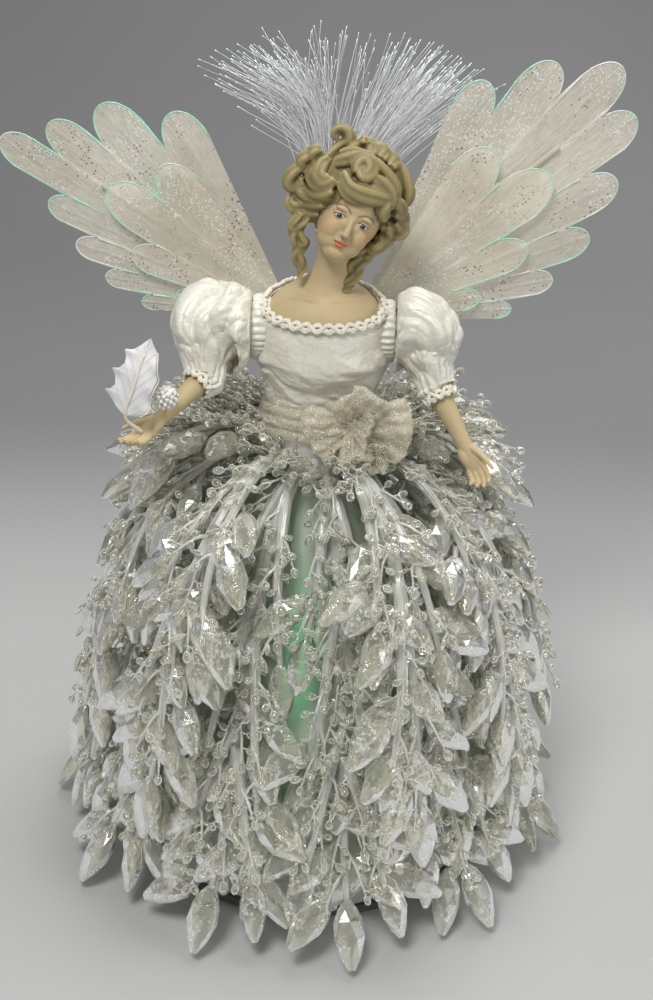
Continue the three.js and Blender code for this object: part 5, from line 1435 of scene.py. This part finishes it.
def sew_gimp(name, body, node, points, waves, width):
    """Gimp on a closed line: two cords that cross in waves, and a third that loops between them.
    Each point comes with its outward direction and the one away from what it lies on."""
    bm = bmesh.new()
    count, inner, thick = len(points), 0.6, 0.78
    for phase, lift in ((0, 0), (math.pi, 0.9)):
        path = []
        for i in range(count + 1):
            at, out, up = points[i % count]
            turn = waves * 2 * math.pi * i / count + phase
            path.append(at + out * (width * math.sin(turn) * MM) + up * ((inner + lift * abs(math.cos(turn))) * MM))
        tube(bm, path, thick * MM, 7, points[0][2], closed=False)
    loops = []
    for i in range(2 * count + 1):
        turn = waves * math.pi * i / count
        back = i / 2 + 0.275 * count / waves * math.sin(2 * turn)
        k = int(back) % count
        _, out, up = points[k]
        at = points[k][0].lerp(points[(k + 1) % count][0], back % 1)
        loops.append(at + out * (0.62 * width * math.cos(2 * turn) * MM) + up * ((inner + 0.5) * MM))
    tube(bm, loops, 0.75 * thick * MM, 6, points[0][2], closed=False)
    made = piece(name, bm, body, ["gimp"], [node])


def build_gimp():
    """The cream gimp sewn round the neckline and round each cuff."""
    half_x, half_y, set_y = NECK_OPENING
    around = [2 * math.pi * i / 336 for i in range(336)]
    points = []
    for angle in around:
        out = Vector((math.sin(angle), -math.cos(angle), 0))
        x, y = (half_x + 0.9) * out.x, set_y + (half_y + 0.9) * out.y
        at = chest(x, y, 2.2 - 1.1 * min(1, max(0, 0.3 + out.y)))
        up = Vector((x / 30.5**2, (y + 1) / 24**2, (at.z / MM - SHOULDER) / 27.5**2)).normalized()
        points.append((at, (out - up * out.dot(up)).normalized(), up))
    sew_gimp("neckline_gimp", "figure", "neckline_braid", points, 17, 1.9)
    for name, arm in ARMS.items():
        cuff = along_arm(arm, 16.6)
        across, side, forward = directions([along_arm(arm, 17.2), along_arm(arm, 19)])[0]
        ups = [ring(across, side, 2 * math.pi * i / 120) for i in range(120)]
        points = [(cuff + up * 6.0 * MM, forward, up) for up in ups]
        sew_gimp(f"{name}_cuff_gimp", f"{name}_arm", f"{name}_cuff_braid", points, 6, 1.8)


def build_sash():
    """The glittered tulle round the waist."""
    choose = random.Random(11)
    lean, rise = choose.uniform(0, 6.28), choose.uniform(0, 6.28)

    def place(u, v):
        angle = 2 * math.pi * u
        pleat = 3.5 * v + 0.35 * math.sin(angle + lean) + 0.2 * math.sin(3 * angle)
        pleat = abs(math.sin(math.pi * pleat)) ** 0.7
        swell = math.sin(math.pi * min(1, 0.25 + 0.75 * v)) ** 0.6
        worn = noise.noise(Vector((3 * math.cos(angle), 3 * math.sin(angle), 4 * v))) * 0.9
        out = (1.6 + 1.7 * pleat + worn) * swell + 3.0 * (1 - v) ** 2
        z = 210.8 + 17.0 * v + 0.9 * math.sin(angle + rise) * (1 - abs(2 * v - 1))
        return mm((23.7 + out) * math.sin(angle), -(19.3 + out) * math.cos(angle), z)

    made = piece("tulle_sash", grid_piece(180, 22, place, wrap=True), "figure", ["glitter_tulle"], ["waist_sash"])
    thicken(made, 0.3)


KNOT = mm(15, -27.6, 223.1)
# Loops and tails of the bow: direction, length, height of the loop, width, and a number that varies their folds
BOW_LOOPS = (
    ((1, -0.34, 0.3), 26, 9.0, 19, 0.2), ((1, -0.25, -0.4), 25, 7.5, 17, 1.3),
    ((-1, -0.25, 0.12), 23, 7.5, 15, 0.6), ((-0.9, -0.35, -0.5), 21, 6.5, 15, 2.2),
    ((0.4, -0.4, 0.9), 20, 7.0, 18, 2.9), ((-0.35, -0.4, 0.85), 17, 6.0, 15, 0.9),
    ((0.4, -0.75, 0.1), 13, 6.0, 15, 1.8), ((0.1, -0.6, -0.8), 17, 6.0, 16, 3.4),
)
BOW_TAILS = (((0.7, -0.3, -0.9), 24, 11, 4.0), ((-0.15, -0.35, -1), 20, 10, 5.2))


def bow_loop(way, long, high, wide, seed):
    turn = aimed(Vector(way), (0, -1, 0.35))

    def place(u, v):
        around, cup = 2 * math.pi * (u - 0.5), 2 * v - 1
        out = 0.5 * (1 + math.cos(around)) ** 0.9
        puff = high * 0.5 * math.sin(around) * (0.35 + 0.65 * out)
        half = wide * 0.5 * (0.28 + 0.72 * min(1.0, out) ** 0.7)
        spot = Vector((cup * half, puff + 1.1 * cup * cup * out, long * out * (1.1 - 0.1 * cup * cup)))
        worn = noise.noise_vector(Vector((spot.x * 0.28 + seed, spot.y * 0.28, spot.z * 0.22 + seed))) * 1.6
        pleats = 0.8 * math.cos(6 * math.pi * v + seed) * (0.4 + 0.6 * math.sin(math.pi * min(1, out)))
        return KNOT + turn @ ((spot + worn * min(1, out * 2) + Vector((0, pleats, 0))) * MM)

    return grid_piece(44, 14, place)


def bow_tail(way, long, wide, seed):
    turn = aimed(Vector(way), (0, -1, -0.3))

    def place(u, v):
        half, cup = wide * 0.5 * (0.25 + 0.75 * u**0.6), 2 * v - 1
        hang = 1.2 * math.cos(4 * math.pi * v + seed) * (0.3 + u) - 4.5 * u * u
        spot = Vector((cup * half, hang, long * u * (1 - 0.12 * cup * cup)))
        worn = noise.noise_vector(Vector((spot.x * 0.25 + seed, spot.y * 0.2, spot.z * 0.2))) * 1.5
        return KNOT + turn @ ((spot + worn * u) * MM)

    return grid_piece(30, 14, place)


def build_bow():
    """The bow of glittered tulle, at the left of the waist."""
    bm = bmesh.new()
    for sheet in [bow_loop(*loop) for loop in BOW_LOOPS] + [bow_tail(*tail) for tail in BOW_TAILS]:
        mesh = as_mesh("sheet", sheet)
        bm.from_mesh(mesh)
        bpy.data.meshes.remove(mesh)
    egg(bm, KNOT, mm(4.2, 3.6, 5.0), 18, 12)
    for vert in bm.verts:
        # nothing of the bow goes inside the sash
        near = math.hypot(vert.co.x / (29.6 * MM), vert.co.y / (25.1 * MM))
        if near < 1:
            vert.co.xy /= near
    made = piece("tulle_bow", bm, "figure", ["glitter_tulle"], ["sash_bow"])
    thicken(made, 0.25)


# ---- Held in the hand, the wings and the fibres


def over_arm(along, lift):
    """A point above the right forearm, or above its palm farther along."""
    arm = ARMS["right"]
    way = Vector(arm["fore"]).normalized()
    up = Vector(arm["palm"]).normalized()
    up = (up - way * up.dot(way)).normalized()
    return along_arm(arm, along) + up * lift * MM


# Half widths up the leaf: its toothed side, and its plainer one
LEAF_EDGE = (
    (0, 0.02), (0.08, 0.26), (0.17, 0.47), (0.235, 0.6), (0.27, 0.47), (0.34, 0.4), (0.43, 0.47), (0.51, 0.58),
    (0.54, 0.44), (0.62, 0.34), (0.69, 0.37), (0.77, 0.46), (0.8, 0.28), (0.88, 0.15), (1, 0.01),
)
LEAF_SIDE = ((0, 0.02), (0.06, 0.3), (0.16, 0.42), (0.35, 0.36), (0.55, 0.4), (0.7, 0.3), (0.85, 0.22), (1, 0.01))
LEAF_LENGTH, LEAF_WIDTH = 35, 20


def build_leaf():
    """The cloth leaf on its wire, held in the right hand."""
    stem_end = over_arm(52, 2.38)
    foot = stem_end + Vector((-0.5, -0.45, 0.75)).normalized() * 12 * MM
    turn = aimed(Vector((0.3, 0.15, 0.94)), (-0.12, -1, 0.25))

    def blade(u, v):
        side = 2 * u - 1
        half = LEAF_WIDTH * np.interp(v, *zip(*(LEAF_EDGE if side < 0 else LEAF_SIDE)))
        ruffle = 0.8 * math.sin(22 * v + 2 * side) * side * side
        cup = 2.6 * (1 - math.cos(1.1 * side)) - 1.8 * math.sin(math.pi * v)
        rib = -0.5 * math.exp(-((side / 0.06) ** 2))
        veins = -0.22 * abs(math.sin(math.pi * (7 * v - 2.4 * abs(side))))
        return foot + turn @ mm(side * half, cup + ruffle + rib + veins * (1 - abs(side)), LEAF_LENGTH * v)

    def on_blade(point):
        local = turn.transposed() @ (point - foot) / MM
        return local.x / 12.5, local.z / LEAF_LENGTH

    bm = grid_piece(40, 72, blade)
    map_flat(bm.faces, bm.loops.layers.uv.new("blade"), on_blade)
    edge = [blade(1, v) + turn @ mm(0.8 * math.sin(3 * v), -0.4, 0) for v in np.linspace(0.05, 0.86, 40)]
    tube(bm, edge, 0.3 * MM, 6, finish=1)
    rib = smooth_path([stem_end, foot, blade(0.5, 0.35), blade(0.5, 0.8)], 40)
    tube(bm, rib, [0.75 * MM * (1 - 0.5 * i / 40) for i in range(41)], finish=1)
    made = piece("cloth_leaf", bm, "right_arm", ["leaf_cloth", "cream_edge"], ["cloth_leaf"])


def build_berry():
    """The berry of glittered beads, on a wire in the same hand."""
    stem_end = over_arm(36, 4.3)
    centre = stem_end + Vector((0.12, -0.95, 0.8)).normalized() * 9.5 * MM
    bm = bmesh.new()
    tube(bm, smooth_path([stem_end, centre], 6), 0.7 * MM, finish=1)
    egg(bm, centre, mm(4.0, 4.0, 4.0), 20, 14)
    choose = random.Random(5)
    beads, golden_angle = 56, 2.39996
    for k in range(beads):
        z = 1 - 2 * (k + 0.5) / beads
        level = math.sqrt(1 - z * z)
        out = Vector((level * math.cos(k * golden_angle), level * math.sin(k * golden_angle), z))
        size = choose.uniform(0.95, 1.3) * MM
        egg(bm, centre + out * (5.5 * MM - size), (size,) * 3, 10, 7)
    made = piece("beaded_berry", bm, "right_arm", ["berry_bead", "cream_edge"], ["beaded_berry"])


WING_PLANE = 31.9
WING_ROOT = (14.5, 250.1)
WING_REACH = 160
SWEEP = math.radians(4)
# The feathers of each layer: degrees above level, and share of the wing's reach
WINGS = {
    "right": {
        "hand": -1,
        "back": ((2, 0.44), (9, 0.55), (16, 0.65), (23, 0.76), (29.5, 0.95), (36, 0.86), (45, 0.79), (58, 0.66)),
        "front": ((8, 0.34), (20, 0.49), (33, 0.63), (48, 0.56)),
    },
    "left": {
        "hand": 1,
        "back": ((4, 0.45), (12, 0.575), (21, 0.7), (30, 0.825), (38.5, 0.95), (46, 1), (54, 0.89), (64, 0.75)),
        "front": ((12, 0.36), (25, 0.525), (39, 0.675), (54, 0.61)),
    },
}


def feather_edges(feathers):
    """Degrees of the lines between feathers, and of the outer edges of the first and the last."""
    angles = [a for a, _ in feathers]
    between = [(a + b) / 2 for a, b in zip(angles, angles[1:])]
    return [1.5 * angles[0] - 0.5 * angles[1], *between, 1.5 * angles[-1] - 0.5 * angles[-2]]


def feather_reach(feathers, edges, degrees):
    """The sheet's reach at an angle, the feather it belongs to, and the place across that feather."""
    k = min(len(feathers) - 1, max(0, int(np.searchsorted(edges, degrees)) - 1))
    low, high = edges[k], edges[k + 1]
    long = WING_REACH * feathers[k][1]
    across = max(-1.0, min(1.0, 2 * (degrees - low) / (high - low) - 1))
    half = long * math.radians(high - low) / 2
    reach = long - 1.7 * half * (1 - math.sqrt(max(0, 1 - (0.985 * across) ** 2)))
    beside = k + (-1 if across < 0 else 1)
    if across and 0 <= beside < len(feathers):
        # a gap between two feathers isn't deeper than this share of the shorter one
        reach = max(reach, 0.89 * min(long, WING_REACH * feathers[beside][1]))
    return reach, k, across


def build_wing_layer(name, wing, layer, depth):
    """One sheet of a wing: overlapping feathers of glittered film with a bound edge."""
    feathers, hand = wing[layer], wing["hand"]
    edges = feather_edges(feathers)
    first, last = edges[0], edges[-1]
    root = Vector((hand * WING_ROOT[0], WING_PLANE, WING_ROOT[1])) * MM
    choose = random.Random(len(name) + len(layer))
    leans = [choose.uniform(-0.4, 0.4) for _ in feathers]

    def place(u, v):
        degrees = first + (last - first) * u
        reach, k, across = feather_reach(feathers, edges, degrees)
        r = 4 + (reach - 4) * v
        free = max(0.0, (r / (WING_REACH * feathers[k][1]) - 0.3) / 0.7)
        shingle = -0.55 * across
        quill = -0.35 * math.exp(-((across / 0.09) ** 2))
        barbs = 0.10 * math.sin(r * 0.9 - 3.5 * abs(across))
        lift = (shingle + quill + barbs + leans[k] * free) * free
        lift += 0.35 * noise.noise(Vector((r * 0.05, degrees * 0.12, k)))
        out, up = r * math.cos(math.radians(degrees)), r * math.sin(math.radians(degrees))
        aside = out * math.cos(SWEEP) - lift * math.sin(SWEEP)
        return root + mm(hand * aside, depth + out * math.sin(SWEEP) + lift * math.cos(SWEEP), up)

    def on_film(point):
        local = (point - root) / MM
        return math.hypot(local.x, local.z) / 100, math.atan2(local.z, abs(local.x))

    count = 24 * len(feathers)
    bm = grid_piece(count, 40, place)
    map_flat(bm.faces, bm.loops.layers.uv.new("film"), on_film)
    back = Vector((0, 1, 0))
    tube(bm, [place(u, 1) for u in np.linspace(0, 1, count + 1)], 0.3 * MM, 6, back, finish=1)
    for edge in edges[1:-1]:
        seam = [place((edge - first) / (last - first), v) + mm(0, -0.3, 0) for v in np.linspace(0.86, 1, 12)]
        tube(bm, seam, [(0.06 + 0.028 * i) * MM for i in range(12)], 5, back, finish=1)
    piece_name, node = f"{name}_wing_{layer}_film", f"{name}_wing_{layer}_feathers"
    made = piece(piece_name, bm, f"{name}_wing", ["wing_film", "wing_edge"], [node])


def build_wings():
    """The wings, each of two sheets of feathers."""
    for name, wing in WINGS.items():
        build_wing_layer(name, wing, "back", 1.7)
        build_wing_layer(name, wing, "front", -1.9)


# The bundle of fibres: its middle in the base, its lower stretch, and where it ends behind the head
TRUNK_ASIDE, TRUNK_FOOT, TRUNK_BEND = -13, 49, 72
TUFT_BACK, TUFT_FOOT = 44, WAIST + 71
COLLAR = TUFT_FOOT + 1.2


def trunk_route():
    """The way of the bundle. Its upper stretch is in shares of what is left aside, to the back and up."""
    places = [mm(TRUNK_ASIDE, 0, TRUNK_FOOT), mm(TRUNK_ASIDE, 0, TRUNK_BEND)]
    for aside, back, up in (
        (0.7, 0, 0.19), (0, 0, 0.39), (0, 0.01, 0.55), (0, 0.08, 0.68), (0, 0.3, 0.775), (0, 0.68, 0.85),
        (0, 0.93, 0.925), (0, 1, 1),
    ):
        places.append(mm(aside * TRUNK_ASIDE, back * TUFT_BACK, TRUNK_BEND + up * (TUFT_FOOT - TRUNK_BEND)))
    return smooth_path(places, 60)


def build_trunk():
    """The bundle of fibres from the lamp up the back, sleeved where it leaves the dress."""
    route = trunk_route()
    ways = directions(route)
    bm = bmesh.new()
    for apart, count in ((0, 1), (1.85, 6), (3.7, 12)):
        for k in range(count):
            turns = [2 * math.pi * k / count + 0.9 * i / 60 for i in range(len(route))]
            path = [at + ring(*way[:2], turn) * apart * MM for at, way, turn in zip(route, ways, turns)]
            tube(bm, path, 0.98 * MM, 7)
    made = piece("fibre_trunk_bundle", bm, "figure", ["optical_fibre"], ["fibre_trunk"])


SHEAVES = (
    # share, middle and spread of the ends to a side, height of the ends, outward bow, least whiteness
    (0.38, -0.5, 0.2, 83, 22, 0.3),
    (0.44, 0.74, 0.19, 86, 4, 0.65),
    (0.18, 0.12, 0.32, 88, 2, 0.15),
)


def fibre_path(choose, middle, spread, height, bow_out):
    """A fibre from the collar up and out, with a bow."""
    u = max(-0.84, min(1.05, choose.gauss(middle, spread)))
    angle, apart = choose.uniform(0, 6.283), 6.2 * math.sqrt(choose.random())
    x = 0.5 * apart * math.cos(angle) + 3.1 * max(-1, min(1, u))
    start = Vector((x, TUFT_BACK + 0.9 * apart * math.sin(angle), COLLAR + 1.2))
    short = choose.uniform(0.62, 1.0) if choose.random() < 0.5 else choose.uniform(0.85, 1.04)
    aside = settings().tuft.spread / MM * u * short**1.2
    end = Vector((aside, 60 + choose.uniform(-8.5, 8.5), COLLAR + (height - 20 * u * u) * short))
    bow = Vector((choose.gauss(0, 2.5) - bow_out * u, choose.gauss(0, 1.5), choose.gauss(3, 2) + 0.5 * bow_out))
    return smooth_path([start * MM, (start.lerp(end, 0.5) + bow * short**2) * MM, end * MM], 12)


def build_tuft():
    """The tuft: optical fibres in a drooping sheaf, a straight one, and a thin one between, above the head."""
    tuft = settings().tuft
    choose = random.Random(21)
    bm = bmesh.new()
    tube(bm, [mm(0, TUFT_BACK, COLLAR + z) for z in (0, 0.8, 1.6)], [v * MM for v in (6.3, 6.9, 6.5)], 32)
    uv = bm.loops.layers.uv.new("along")
    half = tuft.strand_width / 2
    for portion, middle, spread, height, bow_out, least in SHEAVES:
        for _ in range(round(portion * tuft.strands)):
            path = fibre_path(choose, middle, spread, height, bow_out)
            white = choose.uniform(least, 1)
            run = path[-1] - path[0]
            ahead, long = run.normalized(), run.length
            strand = tube(bm, path, [half * (1 - 0.2 * i / 12) for i in range(13)], 3)
            map_flat(strand, uv, lambda point: ((point - path[0]).dot(ahead) / long, white))
            map_flat(egg(bm, path[-1], (1.5 * half,) * 3, 6, 4), uv, lambda point: (1, white))
    made = piece("fibre_tuft_strands", bm, "figure", ["optical_fibre"], ["fibre_tuft"])


# ---- The frame's own solids and the stage


def build_frame():
    """Finishes for the solids of the frame that show as they are."""
    for name, finish in CAD_FINISHES.items():
        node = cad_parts[name]
        node.data.materials.clear()
        node.data.materials.append(material(finish))


# Each area light: its place, what it is aimed at, its sides and its power
LIGHTS = {
    "key": ((-0.3, -0.75, 1.4), (0, 0, 0.22), (0.45, 0.45), 12.5),
    "fill": ((1.1, -0.7, 0.6), (0, 0, 0.18), (0.6, 0.8), 3.4),
    "top": ((0.15, 0.3, 1.6), (0, 0, 0.1), (0.8, 0.5), 8.5),
    "rim": ((0.5, 1.1, 0.8), (0, 0, 0.25), (0.8, 0.5), 3.4),
}
# The stage in profile: where the floor begins, where it starts to curve up, and the curve's radius and run
STAGE_FRONT, STAGE_BEND, STAGE_RADIUS, STAGE_RUN = -1.6, 0.9, 0.5, 0.8
STAGE_LENGTH, STAGE_WIDTH = 4.2, 6
CAMERA_PLACE = (0.004, -0.624, 0.482)
CAMERA_DOWN, CAMERA_ROLL = 26.4, 2


def build_floor():
    """A pale floor that curves up behind."""

    def place(u, v):
        along = STAGE_FRONT + v * STAGE_LENGTH
        turn = min(max((along - STAGE_BEND) / STAGE_RUN, 0), 1) * math.pi / 2
        y = min(along, STAGE_BEND) + STAGE_RADIUS * math.sin(turn)
        z = STAGE_RADIUS * (1 - math.cos(turn)) + max(0, along - STAGE_BEND - STAGE_RUN)
        return (u - 0.5) * STAGE_WIDTH, y, z - 0.5 * MM

    mesh = as_mesh("floor", grid_piece(2, 60, place))
    mesh.materials.append(material("stage_floor"))
    mesh.polygons.foreach_set("use_smooth", [True] * len(mesh.polygons))
    add_object("floor", mesh)


def build_light():
    """Soft studio light."""
    for name, (at, aim, (wide, high), power) in LIGHTS.items():
        light = bpy.data.lights.new(name, "AREA")
        light.shape, light.size, light.size_y, light.energy = "RECTANGLE", wide, high, power
        made = add_object(name, light)
        made.location = at
        made.rotation_euler = (Vector(aim) - Vector(at)).to_track_quat("-Z", "Y").to_euler()
    world = bpy.data.worlds.new("studio")
    bpy.context.scene.world = world
    t = Tree(world)
    rays = t.node("LightPath").outputs
    seen = t.math("MAXIMUM", rays["Is Camera Ray"], rays["Is Transmission Ray"])
    strength = t.node("MapRange", {"Value": seen, "To Min": 0.26, "To Max": 0.3}).outputs["Result"]
    sky = t.node("Background", {"Color": (0.98, 0.98, 1.0, 1), "Strength": strength}).outputs[0]
    t.node("OutputWorld", {"Surface": sky})


def build_camera():
    """The camera, at the photograph's height and angle."""
    camera = bpy.data.cameras.new("camera")
    camera.sensor_fit, camera.sensor_height, camera.sensor_width = "VERTICAL", 36, 36
    camera.lens = 54
    made = add_object("camera", camera)
    down = Matrix.Rotation(math.radians(90 - CAMERA_DOWN), 4, "X")
    made.matrix_world = Matrix.Translation(CAMERA_PLACE) @ down @ Matrix.Rotation(math.radians(CAMERA_ROLL), 4, "Z")
    bpy.context.scene.camera = made
    bpy.context.scene.view_settings.view_transform = "Standard"


# ---- The add-on


def operator(name, label, *steps):
    """An operator that runs building steps."""

    def execute(self, context):
        for step in steps:
            step()
        return {"FINISHED"}

    values = {"bl_idname": f"angel.{name}", "bl_label": label, "__doc__": steps[0].__doc__, "execute": execute}
    return type(f"ANGEL_OT_{name}", (bpy.types.Operator,), values)


OPERATORS = (
    operator("frame", "Finish the frame", build_frame),
    operator("bust", "Build the bust", build_bust),
    operator("hair", "Build the hair", build_hair),
    operator("hands", "Build the hands", build_hands),
    operator("bodice", "Build the bodice", build_bodice),
    operator("sleeves", "Build the sleeves", build_sleeves),
    operator("sash", "Build the sash and bow", build_sash, build_bow),
    operator("gimp", "Build the gimp", build_gimp),
    operator("overskirt", "Build the overskirt", build_overskirt),
    operator("sprays", "Build the crystal sprays", build_sprays),
    operator("wings", "Build the wings", build_wings),
    operator("leaf", "Build the leaf and berry", build_leaf, build_berry),
    operator("tuft", "Build the fibres", build_trunk, build_tuft),
    operator("stage", "Build the stage", build_floor, build_light, build_camera),
)


class ANGEL_PT_panel(bpy.types.Panel):
    """Lists the steps that build the figurine."""

    bl_label = "Angel figurine"
    bl_idname = "ANGEL_PT_panel"
    bl_space_type = "VIEW_3D"
    bl_region_type = "UI"
    bl_category = "Angel"

    def draw(self, context):
        values = context.scene.angel
        for group in (values.skirt, values.figure, values.dress, values.tuft):
            box = self.layout.box()
            for name in group.__annotations__:
                box.prop(group, name)
        for step in OPERATORS:
            self.layout.operator(step.bl_idname)


CLASSES = (SkirtSettings, FigureSettings, DressSettings, TuftSettings, AngelSettings, *OPERATORS, ANGEL_PT_panel)


def register():
    for cls in CLASSES:
        bpy.utils.register_class(cls)
    bpy.types.Scene.angel = bpy.props.PointerProperty(type=AngelSettings)


def unregister():
    del bpy.types.Scene.angel
    for cls in reversed(CLASSES):
        bpy.utils.unregister_class(cls)


def main():
    register()
    for step in OPERATORS:
        getattr(bpy.ops.angel, step.bl_idname.split(".")[1])()


if __name__ == "__main__":
    main()
